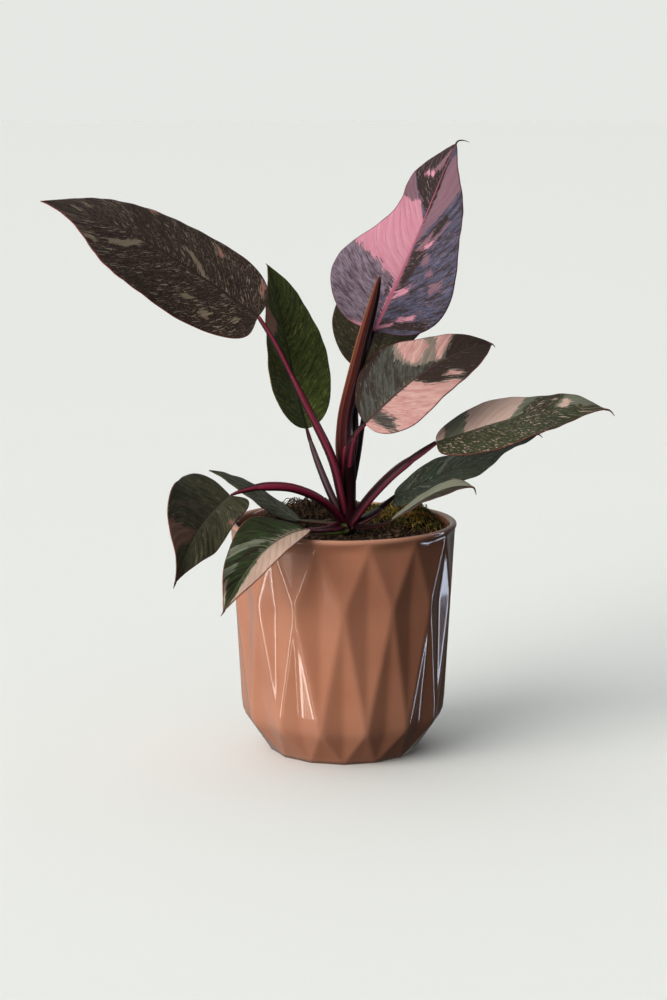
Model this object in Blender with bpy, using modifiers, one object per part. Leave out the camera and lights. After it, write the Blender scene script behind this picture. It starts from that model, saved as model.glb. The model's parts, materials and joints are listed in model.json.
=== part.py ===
"""Pink princess philodendron in its faceted ceramic pot.

Lengths in the tables are millimetres and angles are degrees. The model itself is in metres, with +Z up.
The origin is the centre of the pot's flat underside, and -Y is the front of the plant.
"""

import math

import bmesh
import bpy
import numpy as np
from mathutils import Vector

MM = 0.001
CLEARANCE = 0.3  # gap kept between pieces that touch

# Pot: levels of the pressed diamonds, each a height with its ridge radius and its valley radius.
POT_FACETS = 14
POT_LEVELS = ((138.0, 69.2, 67.2), (99.0, 67.6, 64.2), (23.5, 62.6, 59.6), (0.0, 45.6, 44.4))
POT_LIP = ((69.9, 140.6), (69.9, 141.8), (69.2, 142.7), (68.0, 143.0), (66.6, 142.7), (65.7, 141.8))
POT_CAVITY = ((64.6, 136.0), (57.0, 30.0), (50.0, 18.0), (40.0, 12.0))
POT_EDGE_SOFTNESS = 0.7

# Soil: a level with a hollow round the stem, and heaps given as x, y, height and spread.
SOIL_LEVEL = 136.0
SOIL_HOLLOW = 3.0
SOIL_HOLLOW_SPREAD = 26.0
SOIL_HEAPS = ((44.0, 30.0, 9.0, 17.0), (-44.0, 26.0, 6.0, 13.0), (-14.0, 34.0, 7.0, 16.0), (30.0, 0.0, 3.0, 12.0))
SOIL_GRAIN = 0.5
STEM_HOLE = (1.7, -3.0, 6.4, 115.6)  # x, y, radius and the height of its bottom

# Stem and leaf stalks: points along each one with the half width and the half thickness there.
STEM = (
    (1.5, -3.0, 116.0, 4.6, 4.6), (1.8, -3.0, 137.0, 5.8, 5.4), (2.4, -3.0, 162.0, 5.8, 5.2),
    (2.7, -3.0, 180.0, 5.2, 4.8), (3.0, -3.0, 188.0, 3.6, 3.6),
)
STALKS = {
    "upper_left": (
        (-51.3, -5.0, 269.1, 1.3, 1.3), (-40.3, -6.5, 251.6, 2.4, 1.9), (-23.2, -9.0, 217.5, 4.0, 2.3),
        (-7.4, -10.5, 185.2, 4.6, 2.8), (-1.3, -8.0, 161.9, 4.4, 3.0), (1.2, -4.0, 146.3, 3.0, 2.6),
    ),
    "green_back_left": (
        (-22.4, 18.0, 197.4, 1.1, 1.1), (-19.7, 17.0, 188.5, 1.8, 1.6), (-13.6, 10.0, 172.7, 2.6, 2.2),
        (-6.2, 2.0, 156.5, 3.0, 2.4), (0.0, -1.0, 145.7, 2.4, 2.2),
    ),
    "top_pink": (
        (19.3, 17.0, 258.2, 1.5, 1.4), (11.6, 20.0, 235.7, 2.1, 1.8), (7.8, 16.5, 212.1, 2.8, 2.2),
        (7.6, 6.5, 191.9, 2.8, 2.4), (3.8, 0.0, 174.3, 2.6, 2.4),
    ),
    "dark_back": (
        (14.4, 37.0, 230.5, 1.1, 1.1), (14.3, 31.0, 213.4, 1.8, 1.6), (11.8, 17.0, 196.7, 2.3, 1.9),
        (8.6, 8.0, 178.0, 2.8, 2.2), (4.3, 0.0, 158.7, 2.4, 2.2),
    ),
    "middle_right": (
        (13.4, -15.0, 205.0, 1.5, 1.4), (8.4, -13.0, 199.4, 2.4, 2.0), (5.4, -9.0, 191.4, 3.6, 2.8),
        (3.6, -4.0, 178.0, 3.6, 3.0),
    ),
    "long_right": (
        (56.3, -22.0, 194.6, 1.5, 1.4), (46.8, -22.0, 188.0, 2.8, 2.2), (31.4, -18.0, 175.9, 4.2, 2.6),
        (17.6, -12.0, 160.7, 4.6, 2.8), (6.1, -5.0, 144.0, 3.4, 2.8),
    ),
    "green_right": (
        (31.9, 4.0, 157.3, 1.2, 1.1), (27.0, 1.0, 153.6, 2.0, 1.6), (17.8, -2.5, 146.9, 2.8, 2.0),
        (6.1, -4.0, 140.8, 2.4, 2.0),
    ),
    "small_right": (
        (29.2, -30.0, 148.1, 0.9, 0.9), (23.4, -25.5, 144.6, 1.3, 1.2), (14.0, -15.0, 141.6, 1.6, 1.4),
        (4.9, -5.0, 139.6, 1.6, 1.4),
    ),
    "drooping_left": (
        (-67.5, -38.0, 165.0, 0.8, 0.7), (-60.7, -38.0, 167.7, 1.6, 1.5), (-48.8, -36.0, 170.0, 3.4, 2.4),
        (-31.2, -30.0, 168.4, 3.8, 2.6), (-15.3, -20.0, 160.6, 4.4, 2.8), (-5.6, -11.0, 150.6, 4.0, 2.8),
        (0.6, -4.0, 141.0, 2.8, 2.4),
    ),
    "narrow_left": (
        (-27.2, 0.0, 142.7, 0.9, 0.9), (-17.3, -1.0, 142.0, 1.3, 1.2), (-8.1, -2.0, 141.4, 1.7, 1.5),
        (0.6, -3.0, 140.6, 1.6, 1.4),
    ),
    "front_left": (
        (-22.2, -57.0, 147.3, 1.3, 1.1), (-15.2, -46.0, 145.2, 2.0, 1.5), (-8.0, -28.0, 142.8, 2.5, 1.7),
        (0.2, -6.0, 140.6, 2.4, 1.8),
    ),
}
STALK_SHORTFALL = 0.75  # how far a stalk stops before the foot of its blade
STALK_TIP = 3.0         # length over which it tapers to that end
STALK_TIP_RADIUS = 0.35
STALK_CHANNEL = 0.5     # depth of the groove along a stalk, as a share of its half thickness

# The rolled new leaf: points with radii.
NEW_LEAF = (
    (2.0, -1.2, 188.8, 0.5), (1.0, 2.6, 193.5, 2.4), (0.9, 5.0, 199.5, 3.4), (2.2, 6.8, 210.7, 3.8),
    (6.7, 10.0, 231.6, 3.5), (12.7, 11.6, 255.9, 3.0), (18.2, 12.6, 277.3, 1.7), (22.1, 13.0, 293.0, 0.35),
)

# Blades. base is the foot of the midrib. heading, turn: compass angle of the midrib and its change to the tip.
# rise, droop: slope of the midrib, and its linear and square change. roll, twist: lean of the left half.
# Pairs read left half, right half. lobes and widest are shares of the length.
# swells widen or narrow the half at SWELL_PLACES. waves are heights of a sine and a cosine along the edge.
BLADE_THICKNESS = 0.8
BLADE_ROWS = 18
BLADE_COLUMNS = 10
LOBE_REACH = 0.08      # share of the length over which the margin turns back into its lobe
VEIN_SWEEP = 0.08      # how far the margin end of a side vein runs ahead, as a share of the length
SWELL_PLACES = (0.3, 0.58, 0.85)
SWELL_SPREAD = 0.28
WAVES_ALONG = 2.2
LEAVES = {
    "leaf_upper_left": dict(
        base=(-51.3, -4.9, 269.1), length=150.4, half_widths=(40.1, 43.6),
        heading=168, turn=16, rise=33, droop=(13, -36), roll=-41, twist=22,
        folds=(-2, -1), lobes=(0.08, 0.03), widest=0.37, taper=1.26,
        swells=((0.04, 0.16, -0.08), (-0.16, -0.16, 0.1)),
        waves=((-0.1, 0.6), (0.8, -0.4)),
    ),
    "leaf_green_back_left": dict(
        base=(-22.4, 18, 197.4), length=104.5, half_widths=(29.7, 27.9),
        heading=136, turn=23, rise=67, droop=(30, -25), roll=-6, twist=0,
        folds=(15, 16), lobes=(0.02, 0.02), widest=0.37, taper=1.07,
        swells=((0.02, -0.03, 0), (0, -0.06, 0.08)),
        waves=((-0.4, 0.5), (0.2, 0.5)),
    ),
    "leaf_top_pink": dict(
        base=(19.3, 17, 258.2), length=137.4, half_widths=(37.6, 44.8),
        heading=64, turn=-42, rise=38, droop=(57, -31), roll=13, twist=-6,
        folds=(13, 6), lobes=(0.05, 0.06), widest=0.27, taper=1,
        swells=((0.17, -0.34, 0.34), (-0.09, -0.16, -0.03)),
        waves=((2.1, -0.6), (-2.3, 1.4)),
    ),
    "leaf_dark_back": dict(
        base=(14.4, 37, 230.5), length=108.8, half_widths=(33.2, 31.3),
        heading=62, turn=27, rise=32, droop=(14, 1), roll=-2, twist=7,
        folds=(22, 21), lobes=(0.02, 0.11), widest=0.36, taper=1.2,
        swells=((0.08, 0, 0), (0.03, 0, 0)),
        waves=((0.8, 0.6), (2.1, 0.4)),
    ),
    "leaf_middle_right": dict(
        base=(13.4, -15, 205), length=95.2, half_widths=(30.6, 31.7),
        heading=-2, turn=28, rise=46, droop=(-9, -34), roll=41, twist=-17,
        folds=(6, 6), lobes=(0.02, 0.02), widest=0.27, taper=1,
        swells=((0.16, -0.16, 0.09), (0.02, -0.07, 0.12)),
        waves=((0.9, 0.4), (-1.3, 0.6)),
    ),
    "leaf_long_right": dict(
        base=(56.3, -21.8, 194.6), length=106.4, half_widths=(29.2, 31.2),
        heading=2, turn=-22, rise=17, droop=(16, -39), roll=24, twist=-8,
        folds=(-1, 0), lobes=(0.02, 0.06), widest=0.38, taper=1.24,
        swells=((0.03, -0.09, 0.05), (-0.02, 0.09, -0.05)),
        waves=((-0.4, -1.2), (0.8, 0.6)),
    ),
    "leaf_green_right": dict(
        base=(31.9, 4, 157.3), length=96.2, half_widths=(26.7, 28.4),
        heading=1, turn=1, rise=24, droop=(5, -9), roll=13, twist=-10,
        folds=(1, 2), lobes=(0.02, 0.1), widest=0.36, taper=1.21,
        swells=((0.01, 0, 0), (0.05, -0.01, -0.03)),
        waves=((-0.5, -1.8), (-0.8, -1.6)),
    ),
    "leaf_small_right": dict(
        base=(29.2, -30, 148.1), length=60, half_widths=(10.4, 15.6),
        heading=-19, turn=-13, rise=33, droop=(30, -71), roll=19, twist=18,
        folds=(-2, 18), lobes=(0.05, 0.02), widest=0.39, taper=1.24,
        swells=((-0.13, -0.08, 0.1), (0.04, 0.07, -0.11)),
        waves=((0, -0.3), (0, 0.5)),
    ),
    "leaf_drooping_left": dict(
        base=(-67.7, -38.1, 164.7), length=96.6, half_widths=(18.8, 30.4),
        heading=-110, turn=2, rise=-9, droop=(-7, -33), roll=-6, twist=-49,
        folds=(-2, 32), lobes=(0.09, 0.07), widest=0.28, taper=1.37,
        swells=((-0.16, -0.03, -0.06), (-0.08, 0.16, -0.08)),
        waves=((-1.7, -2), (-1, 2.2)),
    ),
    "leaf_narrow_left": dict(
        base=(-27.2, 0, 142.7), length=64.2, half_widths=(20, 17),
        heading=169, turn=25, rise=30, droop=(23, -36), roll=-2, twist=-8,
        folds=(0, -2), lobes=(0.02, 0.03), widest=0.37, taper=1.26,
        swells=((0.12, -0.01, -0.06), (-0.03, 0.04, 0)),
        waves=((-0.2, 0.2), (0, 0.3)),
    ),
    "leaf_front_left": dict(
        base=(-22.2, -56.8, 147.3), length=83.6, half_widths=(16.8, 19.1),
        heading=-136, turn=10, rise=2, droop=(-78, 26), roll=-27, twist=-13,
        folds=(36, 6), lobes=(0.02, 0.02), widest=0.36, taper=1.44,
        swells=((0.03, -0.14, -0.07), (0.07, -0.09, -0.03)),
        waves=((-1.6, 0.6), (-3.1, -3.4)),
    ),
}

COLOURS = {
    "pot": ("C98C70", 0.18, 0.6),
    "soil": ("2A1D15", 0.95, 0.0),
    "stem_and_stalks": ("6A1B30", 0.38, 0.3),
    "new_leaf_spear": ("6B2A26", 0.35, 0.3),
    "leaf_upper_left": ("2E2A24", 0.38, 0.3),
    "leaf_green_back_left": ("26401A", 0.42, 0.3),
    "leaf_top_pink": ("A4657A", 0.36, 0.3),
    "leaf_dark_back": ("28301F", 0.42, 0.3),
    "leaf_middle_right": ("C4838A", 0.38, 0.3),
    "leaf_long_right": ("4C5A48", 0.38, 0.3),
    "leaf_green_right": ("2E4A38", 0.38, 0.3),
    "leaf_small_right": ("7C8678", 0.40, 0.3),
    "leaf_drooping_left": ("3A3A2C", 0.40, 0.3),
    "leaf_narrow_left": ("4C5A48", 0.40, 0.3),
    "leaf_front_left": ("8C8F78", 0.38, 0.3),
}


def linear(hex_colour):
    """An sRGB hex colour as the linear values that a shader takes."""
    levels = [int(hex_colour[i:i + 2], 16) / 255 for i in (0, 2, 4)]
    return [v / 12.92 if v <= 0.04045 else ((v + 0.055) / 1.055) ** 2.4 for v in levels] + [1.0]


def plain_material(name):
    """One principled material with the colour, roughness and gloss coat of this node."""
    hex_colour, roughness, coat = COLOURS[name]
    material = bpy.data.materials.new(name)
    material.use_nodes = True
    shader = material.node_tree.nodes["Principled BSDF"]
    shader.inputs["Base Color"].default_value = linear(hex_colour)
    shader.inputs["Roughness"].default_value = roughness
    shader.inputs["Coat Weight"].default_value = coat
    return material


def add_object(name, bm, collection):
    """Turns a bmesh into a named object in this collection."""
    bmesh.ops.recalc_face_normals(bm, faces=bm.faces)
    mesh = bpy.data.meshes.new(name)
    bm.to_mesh(mesh)
    bm.free()
    made = bpy.data.objects.new(name, mesh)
    collection.objects.link(made)
    return made


def finish_node(made):
    """Gives a node its own material."""
    made.data.materials.clear()
    made.data.materials.append(plain_material(made.name))
    return made


def spline(rows, steps):
    """A smooth curve through the rows, with every column eased alike. Returns steps + 1 rows."""
    rows = np.array(rows, float)
    padded = np.vstack([2 * rows[0] - rows[1], rows, 2 * rows[-1] - rows[-2]])
    curve = []
    for place in np.linspace(0, len(rows) - 1, steps + 1):
        i = min(int(place), len(rows) - 2)
        t = place - i
        a, b, c, d = padded[i:i + 4]
        curve.append(0.5 * (2 * b + (c - a) * t + (2 * a - 5 * b + 4 * c - d) * t ** 2
                            + (3 * b - a - 3 * c + d) * t ** 3))
    return np.array(curve)


def frames_along(points, side):
    """Unit tangent, side and upper directions at each point, carried along without twist."""
    tangents = np.gradient(points, axis=0)
    tangents /= np.linalg.norm(tangents, axis=1)[:, None]
    sides = []
    for tangent in tangents:
        side = side - tangent * np.dot(side, tangent)
        side = side / np.linalg.norm(side)
        sides.append(side)
    sides = np.array(sides)
    return tangents, sides, np.cross(tangents, sides)


def swept_tube(rows, steps, sides, channel, side_hint):
    """A closed tube along the rows (x, y, z, half width, half thickness), grooved on its upper side."""
    curve = spline(rows, steps)
    points, widths, depths = curve[:, :3], curve[:, 3], curve[:, 4]
    _, across, above = frames_along(points, np.array(side_hint, float))
    bm = bmesh.new()
    rings = []
    for point, width, depth, side, upper in zip(points, widths, depths, across, above):
        ring = []
        for k in range(sides):
            angle = 2 * math.pi * k / sides
            out, up = math.cos(angle), math.sin(angle)
            if up > 0:
                up *= 1 - channel * math.exp(-5 * out * out)
            ring.append(bm.verts.new((point + side * out * width + upper * up * depth) * MM))
        rings.append(ring)
    for first, second in zip(rings, rings[1:]):
        for k in range(sides):
            n = (k + 1) % sides
            bm.faces.new((first[k], first[n], second[n], second[k]))
    bm.faces.new(rings[0])
    bm.faces.new(rings[-1])
    bmesh.ops.triangulate(bm, faces=bm.faces)
    return bm


def ring_at(bm, angles, radii, height):
    return [bm.verts.new((r * math.sin(a) * MM, -r * math.cos(a) * MM, height * MM))
            for a, r in zip(angles, radii)]


def make_pot(collection):
    """Outer wall of pressed diamonds, a round lip, and a plain turned cavity with a floor."""
    bm = bmesh.new()
    count = 2 * POT_FACETS
    angles = [2 * math.pi * k / count for k in range(count)]
    rings = []
    for level, (height, ridge, valley) in enumerate(POT_LEVELS):
        radii = [ridge if (k + level) % 2 else valley for k in range(count)]
        rings.append(ring_at(bm, angles, radii, height))
    for level, (upper, lower) in enumerate(zip(rings, rings[1:])):
        for k in range(count):
            n = (k + 1) % count
            if (k + level) % 2:
                bm.faces.new((upper[k], upper[n], lower[n]))
                bm.faces.new((upper[k], lower[n], lower[k]))
            else:
                bm.faces.new((upper[k], upper[n], lower[k]))
                bm.faces.new((upper[n], lower[n], lower[k]))
    bm.faces.new(rings[-1])
    bmesh.ops.subdivide_edges(bm, edges=bm.edges, cuts=1, use_grid_fill=True)
    rim = [e for e in bm.edges if e.is_boundary]
    for radius, height in POT_LIP + POT_CAVITY:
        made = bmesh.ops.extrude_edge_only(bm, edges=rim)["geom"]
        rim = [e for e in made if isinstance(e, bmesh.types.BMEdge) and e.is_boundary]
        for vertex in {v for e in rim for v in e.verts}:
            out = Vector((vertex.co.x, vertex.co.y, 0)).normalized() * radius * MM
            vertex.co = (out.x, out.y, height * MM)
    bmesh.ops.contextual_create(bm, geom=rim)
    bmesh.ops.triangulate(bm, faces=[f for f in bm.faces if len(f.verts) > 4])
    pot = add_object("pot", bm, collection)
    bevel = pot.modifiers.new("glaze softened edges", "BEVEL")
    bevel.width = POT_EDGE_SOFTNESS * MM
    bevel.segments = 1
    bevel.limit_method = "ANGLE"
    bevel.angle_limit = math.radians(9)
    return finish_node(pot)


def cavity_radius(height):
    heights = [z for _, z in reversed(POT_CAVITY)]
    radii = [r for r, _ in reversed(POT_CAVITY)]
    return float(np.interp(height, heights, radii)) - CLEARANCE


def soil_height(x, y):
    """Height of the soil's surface, from the hollow, the heaps and a fine grain."""
    height = SOIL_LEVEL - SOIL_HOLLOW * math.exp(-(x * x + y * y) / SOIL_HOLLOW_SPREAD ** 2)
    for cx, cy, lift, spread in SOIL_HEAPS:
        height += lift * math.exp(-((x - cx) ** 2 + (y - cy) ** 2) / spread ** 2)
    grain = math.sin(0.9 * x + 1.3 * math.sin(0.5 * y)) * math.sin(0.8 * y + math.sin(0.7 * x))
    edge = min(1.0, (cavity_radius(SOIL_LEVEL) - math.hypot(x, y)) / 8 + 0.15)
    return SOIL_LEVEL + (height - SOIL_LEVEL + SOIL_GRAIN * grain) * max(edge, 0.0)


def make_soil(collection, cutters):
    """Soil that fills the cavity up to near the rim, with a plain hole for the stem."""
    bm = bmesh.new()
    count = 40
    angles = [2 * math.pi * k / count for k in range(count)]
    outer = cavity_radius(SOIL_LEVEL)
    rings = []
    for share in np.linspace(0.08, 1.0, 13):
        radius = outer * float(share)
        ring = ring_at(bm, angles, [radius] * count, 0)
        for vertex in ring:
            vertex.co.z = soil_height(vertex.co.x / MM, vertex.co.y / MM) * MM
        rings.append(ring)
    for _, height in POT_CAVITY[1:-1]:
        rings.append(ring_at(bm, angles, [cavity_radius(height)] * count, height))
    floor = POT_CAVITY[-1][1] + CLEARANCE
    rings.append(ring_at(bm, angles, [cavity_radius(floor)] * count, floor))
    for first, second in zip(rings, rings[1:]):
        for k in range(count):
            n = (k + 1) % count
            bm.faces.new((first[k], first[n], second[n], second[k]))
    bm.faces.new(rings[0])
    bm.faces.new(rings[-1])
    bmesh.ops.triangulate(bm, faces=bm.faces)
    soil = add_object("soil", bm, collection)
    x, y, radius, bottom = STEM_HOLE
    hole = bmesh.new()
    bmesh.ops.create_cone(hole, cap_ends=True, segments=24, radius1=radius * MM, radius2=radius * MM,
                          depth=(160 - bottom) * MM)
    bmesh.ops.translate(hole, verts=hole.verts, vec=Vector((x, y, (160 + bottom) / 2)) * MM)
    cutter = add_object("stem hole cutter", hole, cutters)
    cutter.hide_render = True
    cutter.display_type = "WIRE"
    cut = soil.modifiers.new("plain hole for the stem", "BOOLEAN")
    cut.operation = "DIFFERENCE"
    cut.solver = "EXACT"
    cut.object = cutter
    return finish_node(soil)


def tapered_end(rows):
    """The stalk's rows with its first point drawn back from the blade and tapered to a small tip."""
    rows = np.array(rows, float)
    ahead = rows[1, :3] - rows[0, :3]
    ahead /= np.linalg.norm(ahead)
    tip = np.append(rows[0, :3] + ahead * STALK_SHORTFALL, [STALK_TIP_RADIUS, STALK_TIP_RADIUS])
    rows[0, :3] += ahead * STALK_TIP
    return np.vstack([tip, rows])


def make_stem_and_stalks(collection):
    """The stem with every leaf stalk fused into it, as they grow from it in one colour."""
    loose = bpy.data.collections.new("stalks before fusing")
    bpy.context.scene.collection.children.link(loose)
    for name, rows in STALKS.items():
        bm = swept_tube(tapered_end(rows), 3 * len(rows), 8, STALK_CHANNEL, (0, 1, 0.2))
        add_object("stalk " + name, bm, loose)
    stem = add_object("stem_and_stalks", swept_tube(STEM, 10, 14, 0.0, (0, 1, 0)), collection)
    fuse = stem.modifiers.new("fused stalks", "BOOLEAN")
    fuse.operation = "UNION"
    fuse.solver = "EXACT"
    fuse.operand_type = "COLLECTION"
    fuse.collection = loose
    graph = bpy.context.evaluated_depsgraph_get()
    fused = bpy.data.meshes.new_from_object(stem.evaluated_get(graph))
    stem.modifiers.clear()
    stem.data = fused
    for stalk in list(loose.objects):
        bpy.data.objects.remove(stalk)
    bpy.data.collections.remove(loose)
    return finish_node(stem)


def make_new_leaf(collection):
    """The next leaf, still rolled into a pointed spear."""
    rows = [(x, y, z, r, r) for x, y, z, r in NEW_LEAF]
    return finish_node(add_object("new_leaf_spear", swept_tube(rows, 22, 10, 0.35, (-1, 0, 0)), collection))


def midrib(leaf):
    """Points and directions along the midrib, with the slope and the compass angle changing evenly."""
    share = np.linspace(0, 1, 49)
    compass = np.radians(leaf["heading"] + leaf["turn"] * share)
    slope = np.radians(leaf["rise"] + leaf["droop"][0] * share + leaf["droop"][1] * share ** 2)
    ahead = np.stack([np.cos(slope) * np.cos(compass), np.cos(slope) * np.sin(compass), np.sin(slope)], -1)
    middle = 0.5 * (ahead[1:] + ahead[:-1])
    middle /= np.linalg.norm(middle, axis=1)[:, None]
    steps = middle * leaf["length"] / (len(share) - 1)
    points = np.vstack([[0, 0, 0], np.cumsum(steps, axis=0)]) + np.array(leaf["base"])
    return share, points, ahead


def half_width(t, leaf, left):
    """Half width of the blade where the side vein that starts at share t of the midrib meets the margin."""
    widest, taper = leaf["widest"], leaf["taper"]
    before = np.clip((widest - t) / widest, 0, 1)
    after = np.clip((t - widest) / (1 - widest), 0, 1)
    shape = np.where(t < widest, (1 - before ** 2.2 + 1e-12) ** 0.6,
                     np.maximum(1 - after, 1e-9) ** taper * (1 + taper * after))
    swell = 0
    for place, on_left, on_right in zip(SWELL_PLACES, *leaf["swells"]):
        near = np.clip(np.abs(t - place) / SWELL_SPREAD, 0, 1)
        swell = swell + np.where(left, on_left, on_right) * (0.5 + 0.5 * np.cos(np.pi * near))
    return np.where(left, *leaf["half_widths"]) * shape * (1 + swell)


def blade_points(leaf, t, s):
    """Points of the blade for arrays t (share of the midrib) and s (-1 right margin, 0 midrib, 1 left margin)."""
    share, points, ahead = midrib(leaf)
    left = s > 0
    reach = np.abs(s)
    lobe = np.where(left, *leaf["lobes"]) * (t / LOBE_REACH) * np.exp(1 - t / LOBE_REACH)
    along = t + (VEIN_SWEEP * np.sin(np.pi * t) - lobe) * reach ** 1.4
    out = half_width(t, leaf, left) * reach
    held = np.clip(along, 0, 1)
    centre = np.stack([np.interp(held, share, points[:, i]) for i in range(3)], -1)
    tangent = np.stack([np.interp(held, share, ahead[:, i]) for i in range(3)], -1)
    tangent /= np.linalg.norm(tangent, axis=-1, keepdims=True)
    centre = centre + tangent * ((along - held) * leaf["length"])[..., None]
    level = np.stack([-tangent[..., 1], tangent[..., 0], 0 * tangent[..., 0]], -1)
    level /= np.linalg.norm(level, axis=-1, keepdims=True)
    upright = np.cross(tangent, level)
    lean = np.radians(leaf["roll"] + leaf["twist"] * held)[..., None]
    across = np.cos(lean) * level + np.sin(lean) * upright
    normal = np.cos(lean) * upright - np.sin(lean) * level
    fold = np.radians(np.where(left, *leaf["folds"]))
    (left_sine, left_cosine), (right_sine, right_cosine) = leaf["waves"]
    phase = 2 * np.pi * WAVES_ALONG * t
    wave = np.where(left, left_sine, right_sine) * np.sin(phase)
    wave = wave + np.where(left, left_cosine, right_cosine) * np.cos(phase)
    wave = wave * reach ** 2 * np.sqrt(np.sin(np.pi * np.clip(t, 0, 1)).clip(0))
    lift = np.sin(fold) * out + wave
    return centre + across * (np.sign(s) * np.cos(fold) * out)[..., None] + normal * lift[..., None]


def make_blade(name, leaf, collection):
    """A thin blade with its outline, lobes, fold, droop and waved edges."""
    bm = bmesh.new()
    bmesh.ops.create_grid(bm, x_segments=BLADE_COLUMNS, y_segments=BLADE_ROWS, size=1.0)
    flat = np.array([v.co[:] for v in bm.verts])
    t = ((flat[:, 1] + 1) / 2) ** 1.25
    for vertex, point in zip(bm.verts, blade_points(leaf, t, flat[:, 0])):
        vertex.co = point * MM
    bmesh.ops.remove_doubles(bm, verts=bm.verts, dist=0.05 * MM)
    bmesh.ops.triangulate(bm, faces=bm.faces)
    blade = add_object(name, bm, collection)
    thick = blade.modifiers.new("blade thickness", "SOLIDIFY")
    thick.thickness = BLADE_THICKNESS * MM
    thick.offset = 0
    return finish_node(blade)


def clear_scene():
    for existing in list(bpy.data.objects):
        bpy.data.objects.remove(existing)


def main():
    clear_scene()
    plant = bpy.data.collections.new("pink_princess_philodendron")
    cutters = bpy.data.collections.new("cutters")
    for collection in (plant, cutters):
        bpy.context.scene.collection.children.link(collection)
    make_pot(plant)
    make_soil(plant, cutters)
    make_stem_and_stalks(plant)
    make_new_leaf(plant)
    for name, leaf in LEAVES.items():
        make_blade(name, leaf, plant)


main()
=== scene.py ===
# %% [markdown]
# A young pink princess philodendron in a faceted ceramic pot. The measured model comes in as a fixed frame,
# and each cell below dresses one piece of it: pot, soil, stalks, stem, the rolled new leaf and the blades.
# Lengths are in millimetres until they enter a mesh, which is in metres.

# %% Load the frame
import json
import math

import bmesh
import bpy
import numpy as np
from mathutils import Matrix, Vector, noise


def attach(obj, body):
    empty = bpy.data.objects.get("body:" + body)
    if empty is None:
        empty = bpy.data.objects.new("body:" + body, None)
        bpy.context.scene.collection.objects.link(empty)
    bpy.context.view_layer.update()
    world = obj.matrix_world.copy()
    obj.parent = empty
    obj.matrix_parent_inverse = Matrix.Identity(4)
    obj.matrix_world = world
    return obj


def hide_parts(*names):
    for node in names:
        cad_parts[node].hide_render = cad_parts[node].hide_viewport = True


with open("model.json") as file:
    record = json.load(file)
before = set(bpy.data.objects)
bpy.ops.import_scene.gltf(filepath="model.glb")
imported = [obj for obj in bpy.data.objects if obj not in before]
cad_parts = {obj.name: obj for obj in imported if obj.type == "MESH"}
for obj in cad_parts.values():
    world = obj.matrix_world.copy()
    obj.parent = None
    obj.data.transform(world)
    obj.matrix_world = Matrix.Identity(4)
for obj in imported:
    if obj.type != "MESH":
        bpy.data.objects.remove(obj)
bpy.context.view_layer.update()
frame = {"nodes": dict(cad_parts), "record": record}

MM = 0.001
print("nodes:", sorted(frame["nodes"]))

# %% [markdown]
# Every finish below is built up as it is on the real thing, in coats of colour: each coat lies over the last
# where some field, such as a noise or a distance on the leaf, passes from low to high. The nodes could be
# placed by hand in the shader editor, but one function that adds a node with its settings and links lets a
# whole material read as a short list. Colours are sRGB hex, as a paint chart gives them.

# %% Colours, nodes and coats
def linear(hex_colour, alpha=True):
    """Linear values of an sRGB hex colour."""
    levels = [int(hex_colour[i:i + 2], 16) / 255 for i in (0, 2, 4)]
    values = [v / 12.92 if v <= 0.04045 else ((v + 0.055) / 1.055) ** 2.4 for v in levels]
    return values + [1.0] if alpha else values


def add(tree, kind, inputs=None, **settings):
    """Adds a shader node. inputs maps a socket's name or number to a value or to the socket that feeds it."""
    made = tree.nodes.new("ShaderNode" + kind)
    for name, value in settings.items():
        setattr(made, name, value)
    for key, value in (inputs or {}).items():
        if isinstance(value, bpy.types.NodeSocket):
            tree.links.new(value, made.inputs[key])
        else:
            made.inputs[key].default_value = value
    return made


SMOOTH = {"interpolation_type": "SMOOTHSTEP"}


def coat(tree, below, above, field, low, high, most=1.0, within=None):
    """Lays one colour over another, from none where field is low to most of it where field is high.

    Each colour is a hex value or a socket. within is a second mask that this one is multiplied by.
    """
    amount = add(tree, "MapRange", {0: field, 1: low, 2: high, 4: most}, **SMOOTH).outputs[0]
    if within is not None:
        amount = add(tree, "Math", {0: amount, 1: within}, operation="MULTIPLY").outputs[0]
    below, above = (linear(colour) if isinstance(colour, str) else colour for colour in (below, above))
    return add(tree, "Mix", {0: amount, 6: below, 7: above}, data_type="RGBA").outputs[2]


def new_material(name):
    """A material with an empty principled shader. Returns the material, its tree and the shader."""
    material = bpy.data.materials.new(name)
    material.use_nodes = True
    return material, material.node_tree, material.node_tree.nodes["Principled BSDF"]


def finish_skin(tree, shader, colour, height, strength, depth, **gloss):
    """Gives a shader its colour, a bump this deep in mm, and its gloss, each value on the socket so named."""
    tree.links.new(colour, shader.inputs["Base Color"])
    bump = add(tree, "Bump", {"Height": height, "Strength": strength, "Distance": depth * MM})
    tree.links.new(bump.outputs[0], shader.inputs["Normal"])
    for name, value in gloss.items():
        shader.inputs[name.replace("_", " ")].default_value = value


print("leaf green in linear light:", [round(v, 3) for v in linear("1A2416")])

# %% [markdown]
# Every piece ends the same way: its bmesh becomes a mesh, shaded smooth, that rides on the plant's body and
# hides the solids it stands for. Done by hand this is easily forgotten for one piece of fifty, so one
# function does it for all.

# %% Finish a piece
def finish_piece(name, bm, materials, slot, *nodes):
    """Turns a bmesh into a smooth piece that rides on the plant and stands for the named CAD nodes."""
    mesh = bpy.data.meshes.new(name)
    bm.to_mesh(mesh)
    bm.free()
    for polygon in mesh.polygons:
        polygon.use_smooth = True
    piece = bpy.data.objects.new(name, mesh)
    bpy.context.scene.collection.objects.link(piece)
    for material in materials:
        mesh.materials.append(material)
    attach(piece, "root")
    if nodes:
        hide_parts(*nodes)
    return piece


def triangles(piece):
    return sum(len(polygon.vertices) - 2 for polygon in piece.data.polygons)


print("one unit is", 1 / MM, "mm")

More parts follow.
